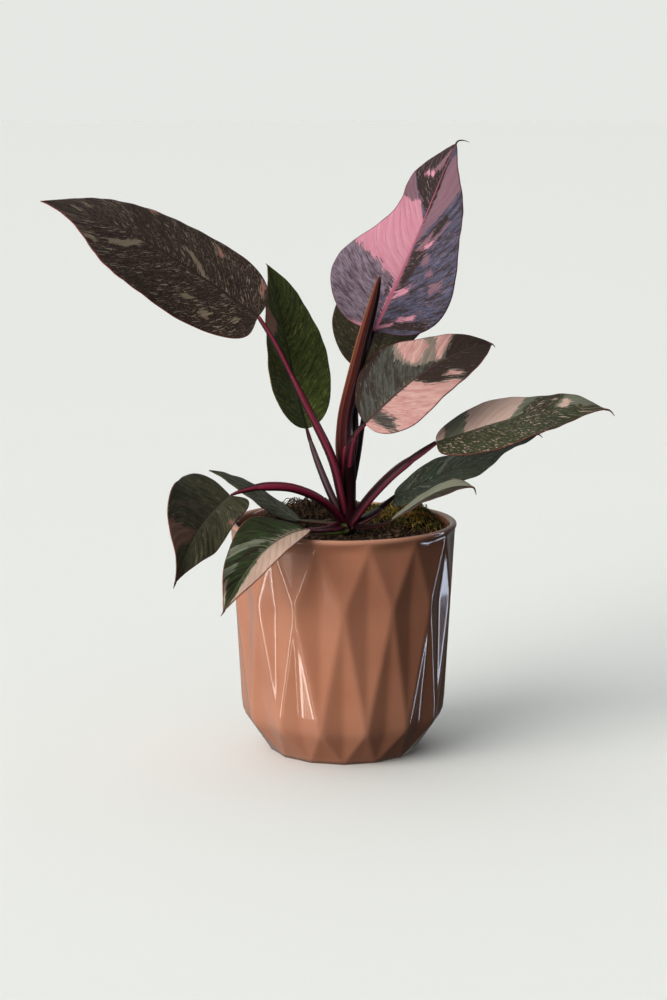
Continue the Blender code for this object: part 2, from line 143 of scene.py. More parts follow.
# %% [markdown]
# The camera stands where the photograph's did: 1.42 m in front of the pot and 0.4 m up, and it looks down by
# just under ten degrees. Its place could be found by eye, but the pot's rim, shoulder and foot are rings of
# known size, and solving the three together gives the place, the tilt and the lens at once.

# %% Camera
LENS_PIXELS, FRAME_HEIGHT, SENSOR = 2337.4, 1000, 36.0
CAMERA_PLACE, LOOKS_DOWN = (-0.0059, -1.4184, 0.3993), 9.75
camera_data = bpy.data.cameras.new("camera")
camera_data.sensor_width = SENSOR
camera_data.lens = LENS_PIXELS * SENSOR / FRAME_HEIGHT
camera = bpy.data.objects.new("camera", camera_data)
camera.location = CAMERA_PLACE
camera.rotation_euler = (math.radians(90 - LOOKS_DOWN), 0, 0)
bpy.context.scene.collection.objects.link(camera)
bpy.context.scene.camera = camera
print("camera lens", round(camera_data.lens, 2), "mm")

# %% [markdown]
# The plant stands in soft daylight from the left, which the glaze mirrors as tall narrow lights, with a
# paler one behind at the right. Bright panels could do all of it, but a panel thin enough to draw those
# lights also throws hard shadows and a pool on the floor. So the work is split: the panels draw highlights
# and light nothing, and two broad suns light everything and draw no highlight.

# %% Light
def shine(name, kind, travel, power, colour, place=(0, 0, 0), **settings):
    """A light that faces along travel. A panel (AREA) only draws highlights, and a SUN draws none."""
    data = bpy.data.lights.new(name, kind)
    data.energy = power
    data.color = linear(colour, alpha=False)
    for setting, value in settings.items():
        setattr(data, setting, value)
    made = bpy.data.objects.new(name, data)
    made.location = place
    made.rotation_euler = Vector(travel).to_track_quat("-Z", "Y").to_euler()
    made.visible_diffuse = kind == "SUN"
    made.visible_glossy = kind == "AREA"
    bpy.context.scene.collection.objects.link(made)


# name, place, the height on the pot's axis that it faces, width, height, watts and colour
PANELS = (
    ("tall panel at the left", (-1.45, -0.60, 0.45), 0.1, 0.12, 2.8, 9.5, "FFFAF2"),
    ("second panel at the left", (-1.1, -1.05, 0.45), 0.1, 0.06, 2.8, 4.5, "FFFAF2"),
    ("pale panel behind at the right", (1.25, 0.62, 0.3), 0.12, 0.10, 2.2, 3.5, "DCE8FF"),
)
for name, place, aim, width, height, watts, colour in PANELS:
    shine(name, "AREA", Vector((0, 0, aim)) - Vector(place), watts, colour, place,
          shape="RECTANGLE", size=width, size_y=height)
shine("daylight from the left", "SUN", (1.0, 0.84, -0.42), 4.05, "FFF8EE", angle=math.radians(54))
shine("light thrown back from the front", "SUN", (0.15, 1.0, -0.55), 0.12, "F4F8FF", angle=math.radians(120))
print("lights", len(bpy.data.lights))

# %% [markdown]
# The light that comes from all round is the world's. One even colour would flatten the leaves, so it glows
# from the upper left, less where it is mirrored, and shows the camera one tone that meets the floor's
# without a seam. The Standard transform shows each colour as it is, where a filmic one would soften it.

# %% World
BACKDROP_TONE = 0.888
GLOW_FROM = (-0.75, 0.35, 0.55)
MIRRORED_LOSS = 0.65
world = bpy.data.worlds.new("pale surroundings")
world.use_nodes = True
sky = world.node_tree
facing = add(sky, "TexCoord").outputs["Generated"]
towards_glow = add(sky, "VectorMath", {0: facing, 1: GLOW_FROM}, operation="DOT_PRODUCT").outputs["Value"]
glow = add(sky, "MapRange", {0: towards_glow, 1: -0.45, 2: 0.75, 3: 0.07}, **SMOOTH).outputs[0]
path = add(sky, "LightPath").outputs
seen, mirrored = path["Is Camera Ray"], path["Is Glossy Ray"]
kept = add(sky, "Math", {0: mirrored, 1: -MIRRORED_LOSS, 2: 1.0}, operation="MULTIPLY_ADD").outputs[0]
glow = add(sky, "Math", {0: glow, 1: kept}, operation="MULTIPLY").outputs[0]
strength = add(sky, "Mix", {0: seen, 2: glow, 3: BACKDROP_TONE}, data_type="FLOAT").outputs[0]
sky.links.new(strength, sky.nodes["Background"].inputs["Strength"])
sky.nodes["Background"].inputs["Color"].default_value = linear("F2F4F0")
bpy.context.scene.world = world
bpy.context.scene.view_settings.view_transform = "Standard"
print("world nodes", len(sky.nodes))

# %% [markdown]
# The floor is a wide matt sheet, so far across that its edge can't be seen. A pale floor would throw light
# up under the leaves and show as a white band in the glaze, so bounced and mirrored rays pass it by, and it
# only catches the shadow.

# %% Floor
FLOOR_HALF = 40.0
floor_bm = bmesh.new()
bmesh.ops.create_grid(floor_bm, x_segments=1, y_segments=1, size=FLOOR_HALF)
floor_mesh = bpy.data.meshes.new("floor")
floor_bm.to_mesh(floor_mesh)
floor_bm.free()
floor = bpy.data.objects.new("floor", floor_mesh)
bpy.context.scene.collection.objects.link(floor)
floor_paint, _, floor_shader = new_material("matt pale floor")
floor_shader.inputs["Base Color"].default_value = linear("E8EBEC")
floor_shader.inputs["Roughness"].default_value = 0.85
floor_mesh.materials.append(floor_paint)
floor.visible_glossy = False
floor.visible_diffuse = False
print("floor", 2 * FLOOR_HALF, "m across")

# %% [markdown]
# The pot is slip-cast stoneware, pressed with tall diamonds and dipped in a salmon glaze that rounds every
# ridge. Flat facets with a bevel would be too crisp, and a bump in the glaze wouldn't show at the rim. So the
# sides start as the same lattice as the solid: rings of vertices that stand out on a ridge or lie back in a
# valley, by turns from level to level. They are joined along the ridges, subdivided and smoothed a little.

# %% Pot
POT_FACETS = 14
# height, radius on a ridge and radius in a valley of each level, then radius and height along lip and cavity
POT_LEVELS = ((138.0, 69.2, 67.0), (99.0, 67.9, 63.9), (23.5, 62.9, 59.3), (0.0, 45.6, 44.2))
POT_LIP = ((69.75, 140.2), (69.95, 141.4), (69.6, 142.3), (68.8, 142.85), (67.8, 143.0), (66.8, 142.8),
           (66.0, 142.2), (65.5, 141.2))
POT_CAVITY = ((64.9, 138.0), (64.6, 134.0), (57.0, 30.0), (50.0, 18.0), (40.0, 12.0))


def extrude_ring(bm, edges):
    """Extrudes an open ring of edges and returns the new ring."""
    made = bmesh.ops.extrude_edge_only(bm, edges=edges)["geom"]
    return [e for e in made if isinstance(e, bmesh.types.BMEdge) and e.is_boundary]


def move_ring(edges, radius, height):
    """Moves a ring to this radius and height in mm, each vertex along its own spoke."""
    for vertex in {v for e in edges for v in e.verts}:
        spoke = Vector((vertex.co.x, vertex.co.y, 0)).normalized() * radius * MM
        vertex.co = (spoke.x, spoke.y, height * MM)


def pressed_sides(bm):
    """The sides from the top level to the foot: diamonds on a ring of spokes, two to a facet."""
    bmesh.ops.create_circle(bm, cap_ends=False, segments=2 * POT_FACETS, radius=POT_LEVELS[0][1] * MM)
    edges, ridges = list(bm.edges), []
    for level, (height, ridge, valley) in enumerate(POT_LEVELS):
        if level:
            edges = extrude_ring(bm, edges)
        for vertex in {v for e in edges for v in e.verts}:
            spoke = Vector((vertex.co.x, vertex.co.y, 0)).normalized()
            facet = round(math.atan2(spoke.x, -spoke.y) * POT_FACETS / math.pi)
            on_ridge = (facet + level) % 2
            spoke *= (ridge if on_ridge else valley) * MM
            vertex.co = (spoke.x, spoke.y, height * MM)
            if on_ridge:
                ridges.append(vertex)
    bmesh.ops.connect_verts(bm, verts=ridges)
    bmesh.ops.subdivide_edges(bm, edges=bm.edges, cuts=7, use_grid_fill=True)
    inner = [v for v in bm.verts if not v.is_boundary]
    bmesh.ops.smooth_vert(bm, verts=inner, factor=0.5, use_axis_x=True, use_axis_y=True, use_axis_z=True)


def pot_mesh():
    """The pressed sides, with the lip and the cavity extruded from their top edge, and the foot closed."""
    bm = bmesh.new()
    pressed_sides(bm)
    foot = [e for e in bm.edges if e.is_boundary and e.verts[0].co.z < 0.01]
    rim = [e for e in bm.edges if e.is_boundary and e.verts[0].co.z > 0.1]
    for radius, height in POT_LIP + POT_CAVITY:
        rim = extrude_ring(bm, rim)
        move_ring(rim, radius, height)
    bmesh.ops.holes_fill(bm, edges=rim, sides=0)
    bmesh.ops.holes_fill(bm, edges=foot, sides=0)
    bmesh.ops.recalc_face_normals(bm, faces=bm.faces)
    return bm


def glazed_stoneware():
    """Salmon glaze on stoneware: warm and even, paler where it thins on the ridges, with a wet gloss.

    The clouds are about 45 mm across, and the fine ripple of the glaze about 1 mm.
    """
    material, tree, shader = new_material("glazed stoneware, salmon")
    place = add(tree, "TexCoord").outputs["Object"]
    clouds = add(tree, "TexNoise", {"Vector": place, "Scale": 22.0, "Detail": 3.0}).outputs["Fac"]
    fine = add(tree, "TexNoise", {"Vector": place, "Scale": 900.0, "Detail": 2.0}).outputs["Fac"]
    ridge = add(tree, "NewGeometry").outputs["Pointiness"]
    colour = coat(tree, "A46C54", "AE765D", clouds, 0.3, 0.7)
    colour = coat(tree, colour, "C29480", ridge, 0.49, 0.56, 0.35)
    finish_skin(tree, shader, colour, fine, 0.08, 0.2, Roughness=0.16, Coat_Weight=0.7, Coat_Roughness=0.05,
                Specular_IOR_Level=0.55)
    return material


pot = finish_piece("pot_glazed", pot_mesh(), [glazed_stoneware()], "pot", "pot")
print("pot triangles", triangles(pot))

# %% [markdown]
# The soil is dark peat, heaped unevenly under the leaves. A bump on a flat disc would give itself away at
# the rim, where the heaps stand against the light, and a sculpted mesh couldn't be repeated. So its surface
# is one fine disc of rings, raised by the same heaps as the solid and roughened by fractal noise.

# %% Soil surface
SOIL_LEVEL, SOIL_RADIUS, SOIL_RINGS, SOIL_SPOKES = 136.0, 64.2, 62, 200
SOIL_HOLLOW, SOIL_HOLLOW_SPREAD = 3.0, 26.0
# place, lift and spread of each heap
SOIL_HEAPS = ((44.0, 30.0, 9.0, 17.0), (-44.0, 26.0, 6.0, 13.0), (-14.0, 34.0, 7.0, 16.0),
              (30.0, 0.0, 3.0, 12.0), (0.0, 54.0, 5.5, 13.0), (31.0, 47.0, 4.0, 12.0),
              (-32.0, 45.0, 5.5, 12.0))
# noise per mm, roughness, step between octaves, octaves
SOIL_GRAIN = (0.16, 0.8, 2.1, 6)
SOIL_ROUGHNESS = 1.1
SOIL_SIDE = ((64.2, 132.0), (56.6, 30.0), (49.6, 18.2), (39.6, 12.4))
STEM_AXIS = (1.8, -3.0)


def soil_height(x, y):
    """Height of the soil in mm at a place in mm."""
    height = SOIL_LEVEL - SOIL_HOLLOW * math.exp(-(x * x + y * y) / SOIL_HOLLOW_SPREAD ** 2)
    for cx, cy, lift, spread in SOIL_HEAPS:
        height += lift * math.exp(-((x - cx) ** 2 + (y - cy) ** 2) / spread ** 2)
    edge = min(1.0, max(0.0, (SOIL_RADIUS - math.hypot(x, y)) / 5 + 0.3))
    scale, *octaves = SOIL_GRAIN
    rough = noise.fractal(Vector((x, y, 0)) * scale, *octaves) * SOIL_ROUGHNESS
    near_stem = math.exp(-((x - STEM_AXIS[0]) ** 2 + (y - STEM_AXIS[1]) ** 2) / 90)
    return SOIL_LEVEL + (height - SOIL_LEVEL) * edge + rough * (1 - 0.8 * near_stem)


def soil_mesh():
    """Rings of vertices extruded inwards and raised, then a skirt down to the pot's floor."""
    bm = bmesh.new()
    bmesh.ops.create_circle(bm, cap_ends=False, segments=SOIL_SPOKES, radius=SOIL_RADIUS * MM)
    edges = list(bm.edges)
    for k in range(1, SOIL_RINGS):
        edges = extrude_ring(bm, edges)
        move_ring(edges, SOIL_RADIUS * (1 - k / SOIL_RINGS), 0)
    bmesh.ops.holes_fill(bm, edges=edges, sides=0)
    for vertex in bm.verts:
        vertex.co.z = soil_height(vertex.co.x / MM, vertex.co.y / MM) * MM
    skirt = [e for e in bm.edges if e.is_boundary]
    for radius, height in SOIL_SIDE:
        skirt = extrude_ring(bm, skirt)
        move_ring(skirt, radius, height)
    bmesh.ops.holes_fill(bm, edges=skirt, sides=0)
    bmesh.ops.recalc_face_normals(bm, faces=bm.faces)
    return bm


def earth(name, dark, light, grain):
    """Moist earth or plant litter: dull, rough, and mottled in two tones by grains this many mm across."""
    material, tree, shader = new_material(name)
    place = add(tree, "TexCoord").outputs["Object"]
    grains = add(tree, "TexNoise", {"Vector": place, "Scale": 1 / (3 * grain * MM), "Detail": 8.0,
                                    "Roughness": 0.7}).outputs["Fac"]
    finish_skin(tree, shader, coat(tree, dark, light, grains, 0.42, 0.66), grains, 0.8, 0.8, Roughness=0.9)
    return material


peat = earth("moist peat", "0E0A07", "2C2018", 0.9)
soil = finish_piece("soil_surface", soil_mesh(), [peat], "soil", "soil")
print("soil triangles", triangles(soil))

# %% [markdown]
# Crumbs of bark lie on the peat, small and rough. A particle system would scatter them, but its copies can't
# be exported. Each is a ball of twenty faces, squashed and turned, and a seeded draw adds it to one mesh.

# %% Crumbs
CRUMB_REACH, CLEAR_OF_STEM = 62.5, 8.5
rng = np.random.default_rng(11)


def crumbs_mesh(count):
    """Small lumps strewn evenly over the soil, most of them under 1.3 mm in radius."""
    bm = bmesh.new()
    for _ in range(count):
        angle, out = rng.uniform(0, 2 * math.pi), CRUMB_REACH * math.sqrt(rng.uniform(0, 1))
        x, y = out * math.cos(angle), out * math.sin(angle)
        if math.hypot(x - STEM_AXIS[0], y - STEM_AXIS[1]) < CLEAR_OF_STEM:
            continue
        size = rng.uniform(0.5, 1.3) if rng.uniform() < 0.8 else rng.uniform(1.3, 2.4)
        lump = bmesh.ops.create_icosphere(bm, subdivisions=1, radius=size * MM)["verts"]
        stretch = Vector((rng.uniform(0.7, 1.9), rng.uniform(0.6, 1.2), rng.uniform(0.4, 0.9)))
        spin = rng.uniform(0, math.pi)
        for v in lump:
            co = Vector((v.co.x * stretch.x, v.co.y * stretch.y, v.co.z * stretch.z)) * rng.uniform(0.75, 1.2)
            v.co = Vector((co.x * math.cos(spin) - co.y * math.sin(spin) + x * MM,
                           co.x * math.sin(spin) + co.y * math.cos(spin) + y * MM,
                           co.z + (soil_height(x, y) + 0.35 * size) * MM))
    return bm


bark = earth("bark crumbs", "1B120C", "6A503A", 0.7)
crumbs = finish_piece("soil_crumbs", crumbs_mesh(1700), [bark], "soil")
print("crumb triangles", triangles(crumbs))

# %% [markdown]
# Coir, dry straw and moss stick out of the soil as fine threads. Hair curves would be lighter, but the export
# drops them. Each thread is a bevelled curve, which is the quickest round strand to bend and taper, and
# several hundred of them are turned to one mesh. The moss is the same thread, short, thick and crowded.

# %% Fibres and moss
STRAND_STEPS, STRAND_REACH, STRAND_CLEAR = 6, 62.0, 7.5


def strand_path(x, y, heading, bend, reach, lift):
    """Points of one thread: it arches over the soil from here, and stops where it would meet the pot."""
    points = []
    for k in range(STRAND_STEPS + 1):
        u = k / STRAND_STEPS
        x += math.cos(heading + bend * u) * reach / STRAND_STEPS
        y += math.sin(heading + bend * u) * reach / STRAND_STEPS
        if math.hypot(x, y) > STRAND_REACH + 1:
            break
        points.append((x, y, soil_height(x, y) + 0.3 + lift * math.sin(math.pi * min(u * 1.15, 1))))
    return points


def fibres_mesh(count, centre, spread, length, rise, radius):
    """Bent threads strewn about a centre, each thinner to its end."""
    data = bpy.data.curves.new("strands", "CURVE")
    data.dimensions = "3D"
    data.bevel_depth = MM
    data.bevel_resolution = 0
    data.use_fill_caps = True
    for _ in range(count):
        x, y = rng.normal(centre[0], spread[0]), rng.normal(centre[1], spread[1])
        near_stem = math.hypot(x - STEM_AXIS[0], y - STEM_AXIS[1]) < STRAND_CLEAR
        if math.hypot(x, y) > STRAND_REACH or near_stem:
            continue
        heading, bend = rng.uniform(0, 2 * math.pi), rng.uniform(-1.6, 1.6)
        reach, lift, thickness = rng.uniform(*length), rng.uniform(*rise), rng.uniform(*radius)
        points = strand_path(x, y, heading, bend, reach, lift)
        if len(points) > 3:
            strand = data.splines.new("POLY")
            strand.points.add(len(points) - 1)
            for k, (point, place) in enumerate(zip(strand.points, points)):
                point.co = (*(value * MM for value in place), 1)
                point.radius = thickness * (1 - 0.6 * k / len(points))
    holder = bpy.data.objects.new("strands", data)
    bm = bmesh.new()
    bm.from_mesh(bpy.data.meshes.new_from_object(holder))
    bpy.data.objects.remove(holder)
    bmesh.ops.remove_doubles(bm, verts=bm.verts, dist=0.001 * MM)
    bmesh.ops.recalc_face_normals(bm, faces=bm.faces)
    return bm


coir = earth("coir fibre", "1A110A", "5E4630", 0.5)
straw = earth("dry straw fibre", "8A5E20", "E0B060", 0.5)
moss = earth("green moss", "34340F", "9A9440", 0.6)
# name, count, centre, spread, length, rise, thickness and material of each kind of strand, in mm
STRANDS = (
    ("soil_fibres", 420, (0, 8), (34, 30), (7, 20), (0.4, 3.0), (0.14, 0.32), coir),
    ("soil_fibres_left", 240, (-19, 38), (11, 14), (8, 18), (2.0, 7.5), (0.16, 0.38), coir),
    ("soil_straw_right", 190, (40, 26), (11, 12), (5, 14), (0.8, 5.0), (0.16, 0.38), straw),
    ("soil_fibres_back", 460, (0, 53), (28, 5), (8, 20), (1.5, 6.5), (0.16, 0.38), coir),
    ("soil_moss_back", 340, (27, 48), (17, 6), (3, 9), (1.5, 6.0), (0.2, 0.42), moss),
    ("soil_moss_right", 520, (41, 27), (12, 12), (3, 7), (1.0, 4.5), (0.2, 0.42), moss),
)
for name, count, *shape, litter in STRANDS:
    strands = finish_piece(name, fibres_mesh(count, *shape), [litter], "soil")
    print(name, "triangles", triangles(strands))

# %% [markdown]
# Eleven stalks rise from one short stem. Each is drawn here from its blade down to the stem as a few places
# with the half width and half thickness there, the same as the solid's. A bevelled curve could follow them
# but can only be round, and these are flat and grooved. So the next cells extrude a ring along the path.

# %% Paths of the stem and the stalks
STEM = (
    (1.5, -3.0, 116.0, 4.6, 4.6), (1.8, -3.0, 137.0, 5.8, 5.4), (2.4, -3.0, 162.0, 5.8, 5.2),
    (2.7, -3.0, 180.0, 5.2, 4.8), (3.0, -3.0, 188.0, 3.6, 3.6),
)
STALKS = {
    "upper_left": (
        (-51.3, -5.0, 269.1, 1.3, 1.3), (-40.3, -6.5, 251.6, 2.4, 1.9), (-23.2, -9.0, 217.5, 4.0, 2.3),
        (-7.4, -10.5, 185.2, 4.6, 2.8), (-1.3, -8.0, 161.9, 4.4, 3.0), (1.2, -4.0, 146.3, 3.0, 2.6),
    ),
    "green_back_left": (
        (-22.4, 18.0, 197.4, 1.1, 1.1), (-19.7, 17.0, 188.5, 1.8, 1.6), (-13.6, 10.0, 172.7, 2.6, 2.2),
        (-6.2, 2.0, 156.5, 3.0, 2.4), (0.0, -1.0, 145.7, 2.4, 2.2),
    ),
    "top_pink": (
        (19.3, 17.0, 258.2, 1.5, 1.4), (11.6, 20.0, 235.7, 2.1, 1.8), (7.8, 16.5, 212.1, 2.8, 2.2),
        (7.6, 6.5, 191.9, 2.8, 2.4), (3.8, 0.0, 174.3, 2.6, 2.4),
    ),
    "dark_back": (
        (14.4, 37.0, 230.5, 1.1, 1.1), (14.3, 31.0, 213.4, 1.8, 1.6), (11.8, 17.0, 196.7, 2.3, 1.9),
        (8.6, 8.0, 178.0, 2.8, 2.2), (4.3, 0.0, 158.7, 2.4, 2.2),
    ),
    "middle_right": (
        (13.4, -15.0, 205.0, 1.5, 1.4), (8.4, -13.0, 199.4, 2.4, 2.0), (5.4, -9.0, 191.4, 3.6, 2.8),
        (3.6, -4.0, 178.0, 3.6, 3.0),
    ),
    "long_right": (
        (56.3, -22.0, 194.6, 1.5, 1.4), (46.8, -22.0, 188.0, 2.8, 2.2), (31.4, -18.0, 175.9, 4.2, 2.6),
        (17.6, -12.0, 160.7, 4.6, 2.8), (6.1, -5.0, 144.0, 3.4, 2.8),
    ),
    "green_right": (
        (31.9, 4.0, 157.3, 1.2, 1.1), (27.0, 1.0, 153.6, 2.0, 1.6), (17.8, -2.5, 146.9, 2.8, 2.0),
        (6.1, -4.0, 140.8, 2.4, 2.0),
    ),
    "small_right": (
        (29.2, -30.0, 148.1, 0.9, 0.9), (23.4, -25.5, 144.6, 1.3, 1.2), (14.0, -15.0, 141.6, 1.6, 1.4),
        (4.9, -5.0, 139.6, 1.6, 1.4),
    ),
    "drooping_left": (
        (-67.5, -38.0, 165.0, 0.8, 0.7), (-60.7, -38.0, 167.7, 1.6, 1.5), (-48.8, -36.0, 170.0, 3.4, 2.4),
        (-31.2, -30.0, 168.4, 3.8, 2.6), (-15.3, -20.0, 160.6, 4.4, 2.8), (-5.6, -11.0, 150.6, 4.0, 2.8),
        (0.6, -4.0, 141.0, 2.8, 2.4),
    ),
    "narrow_left": (
        (-27.2, 0.0, 142.7, 0.9, 0.9), (-17.3, -1.0, 142.0, 1.3, 1.2), (-8.1, -2.0, 141.4, 1.7, 1.5),
        (0.6, -3.0, 140.6, 1.6, 1.4),
    ),
    "front_left": (
        (-22.2, -57.0, 147.3, 1.3, 1.1), (-15.2, -46.0, 145.2, 2.0, 1.5), (-8.0, -28.0, 142.8, 2.5, 1.7),
        (0.2, -6.0, 140.6, 2.4, 1.8),
    ),
}
STEM_CROWN = (3.1, -2.8, 190.5, 1.2, 1.2)
print("stalks", len(STALKS))

# %% [markdown]
# A stalk is widest at its foot, thin at its blade, and has a channel along its upper side. A closed ring of
# vertices is extruded from station to station along a smooth curve, squashed to the width and thickness
# there, with the channel pressed in. An attribute keeps the distance along it and the direction round it, so
# that its colours follow the stalk however it bends.

# %% Grooved tube
def spline(rows, steps):
    """A smooth curve through the rows, with every column eased alike. Returns steps + 1 rows."""
    rows = np.array(rows, float)
    padded = np.vstack([2 * rows[0] - rows[1], rows, 2 * rows[-1] - rows[-2]])
    curve = []
    for place in np.linspace(0, len(rows) - 1, steps + 1):
        i = min(int(place), len(rows) - 2)
        t = place - i
        a, b, c, d = padded[i:i + 4]
        curve.append(0.5 * (2 * b + (c - a) * t + (2 * a - 5 * b + 4 * c - d) * t ** 2
                            + (3 * b - a - 3 * c + d) * t ** 3))
    return np.array(curve)


def grooved_tube(rows, steps, sides, channel, side_hint, groove_width=0.45):
    """A closed tube through the rows (x, y, z, half width, half thickness), grooved on its upper side."""
    curve = spline(rows, steps)
    points = curve[:, :3]
    tangents = np.gradient(points, axis=0)
    tangents /= np.linalg.norm(tangents, axis=1)[:, None]
    along = np.concatenate([[0], np.cumsum(np.linalg.norm(np.diff(points, axis=0), axis=1))])
    bm = bmesh.new()
    place = bm.verts.layers.float_vector.new("place")
    bmesh.ops.create_circle(bm, cap_ends=False, segments=sides, radius=1.0)
    ring, edges = list(bm.verts), list(bm.edges)
    angles = [math.atan2(v.co.y, v.co.x) for v in ring]
    side = np.array(side_hint, float)
    for station, (point, tangent) in enumerate(zip(points, tangents)):
        if station:
            made = bmesh.ops.extrude_edge_only(bm, edges=edges)["geom"]
            fresh = {v for v in made if isinstance(v, bmesh.types.BMVert)}
            edges = [e for e in made if isinstance(e, bmesh.types.BMEdge) and e.is_boundary]
            ring = [next(w for w in (e.other_vert(v) for e in v.link_edges) if w in fresh) for v in ring]
        side = side - tangent * np.dot(side, tangent)
        side /= np.linalg.norm(side)
        upper = np.cross(tangent, side)
        width, depth = curve[station, 3:5]
        for vertex, angle in zip(ring, angles):
            out, up = math.cos(angle), math.sin(angle)
            if up > 0:
                up *= 1 - channel * math.exp(-(out / groove_width) ** 2)
            vertex.co = Vector(point + side * out * width + upper * up * depth) * MM
            vertex[place] = (along[station], math.cos(angle), math.sin(angle))
    bmesh.ops.holes_fill(bm, edges=[e for e in bm.edges if e.is_boundary], sides=0)
    bmesh.ops.recalc_face_normals(bm, faces=bm.faces)
    return bm


print("stations of a curve in two steps:", len(spline(STEM, 2)))

# %% [markdown]
# The stalks are fleshy and crimson, with paler winged edges and fine lengthwise fibres under a thin wax, and
# their underside and channel are painted near black as shade. A texture painted round each would have a
# seam. The colours here are laid by the direction round the stalk and the distance along it, so one skin
# fits every stalk and sheath.

# %% Skin of the stalks
FIBRE_STRETCH = (0.06, 5.0, 5.0)
FIBRE_NOISE = {"Scale": 1.0, "Detail": 5.0, "Roughness": 0.65}


def stalk_skin(name, foot, tip, flank, length, groove_colour="1E0810"):
    """Fleshy stalk: crimson flanks, painted shade in the groove on top, painted near-black shade below, fine
    lengthwise fibres.
    """
    material, tree, shader = new_material(name)
    place = add(tree, "Attribute", attribute_name="place").outputs["Vector"]
    along, side, above = add(tree, "SeparateXYZ", {0: place}).outputs
    stretched = add(tree, "VectorMath", {0: place, 1: FIBRE_STRETCH}, operation="MULTIPLY").outputs[0]
    fibres = add(tree, "TexNoise", {"Vector": stretched, **FIBRE_NOISE}).outputs["Fac"]
    outward = add(tree, "Math", {0: side}, operation="ABSOLUTE").outputs[0]
    on_top = add(tree, "MapRange", {0: above, 2: 0.4, 4: 0.85}, **SMOOTH).outputs[0]
    body = coat(tree, tip, foot, along, 0.0, length)
    wing = coat(tree, flank, foot, along, 0.65 * length, length)
    colour = coat(tree, body, wing, outward, 0.5, 0.85, 0.85)
    # Painted shade: the groove colour, near black unless given, darkens the channel on top, and the next coat
    # paints the underside near black.
    colour = coat(tree, colour, groove_colour, outward, 0.42, 0.12, within=on_top)
    colour = coat(tree, colour, "14080A", above, 0.1, -0.4, 0.92)
    colour = coat(tree, colour, "2A0C12", fibres, 0.5, 0.75, 0.35)
    finish_skin(tree, shader, colour, fibres, 0.25, 0.3, Roughness=0.38, Specular_IOR_Level=0.3,
                Coat_Weight=0.12, Coat_Roughness=0.25)
    return material


# foot colour, colour at the blade, colour of the winged edges
STALK_COLOURS = {
    "upper_left": ("380C18", "20101A", "842C42"),
    "green_back_left": ("300E18", "3A3024", "5A2030"),
    "top_pink": ("280C16", "54405A", "4E2A40"),
    "dark_back": ("220C12", "2A1C24", "3A1C28"),
    "middle_right": ("360A16", "5E2438", "7E2E42"),
    "long_right": ("360A16", "4A1E2C", "7E3044"),
    "green_right": ("260A12", "342430", "4A1A28"),
    "small_right": ("2A1016", "46322E", "4E2628"),
    "drooping_left": ("661028", "1E1214", "741A34"),
    "narrow_left": ("361C1A", "566048", "4A2A26"),
    "front_left": ("4A1422", "80505A", "6A2236"),
}
print("stalk colours", len(STALK_COLOURS))

# %% [markdown]
# The foot of a stalk wraps the stem in a sheath that opens along its upper side and ends in a short lip.
# Widening the stalk itself would lose that lip, so each sheath is a second, wider and more deeply grooved
# tube round the lower part of its stalk, and the stalk is slimmed a little inside it.

# %% Sheaths
# how much of each stalk, from the blade down, is bare before its sheath starts, and how wide the sheath is
SHEATHS = {
    "upper_left": (0.22, 1.15), "green_back_left": (0.16, 1.7), "top_pink": (0.55, 1.1),
    "middle_right": (0.30, 1.15), "long_right": (0.24, 1.4), "green_right": (0.36, 1.9),
    "drooping_left": (0.22, 1.15), "front_left": (0.45, 1.25),
}
# foot and edge of the sheaths that are browner than their stalks
SHEATH_COLOURS = {"green_right": ("2E1A1C", "6E4850"), "green_back_left": ("32161E", "5E424A")}
SHEATH_STEPS, SLIMMED = 60, 0.25


def sheath_rows(rows, bare, wide):
    """Rows for the stalk, slimmed inside its sheath, and for the sheath, which ends in a short lip."""
    curve = spline(rows, SHEATH_STEPS)
    start = int(SHEATH_STEPS * bare)
    slim = curve.copy()
    share = np.clip((np.arange(SHEATH_STEPS + 1) - start) / 8, 0, 1)
    slim[:, 3:] *= (1 - SLIMMED * share)[:, None]
    sheath = curve[start:].copy()
    lip = 0.35 + 0.65 * np.clip(np.arange(len(sheath)) / 5, 0, 1) ** 0.5
    sheath[:, 3] *= wide * lip
    sheath[:, 4] *= 1.05 * lip
    sheath[:, 2] -= 0.1
    return slim[::3], sheath[::2]


print("sheaths", len(SHEATHS))

# %% [markdown]
# Now the tubes are made. Each stalk runs on from its last place into the stem, so that no gap shows where
# they meet, as on the plant, where they are one flesh. One sheath at the front is green and flares out over
# the soil on its own.

# %% Make the stalks and the stem
SIDE_UP = (0, 1, 0.2)
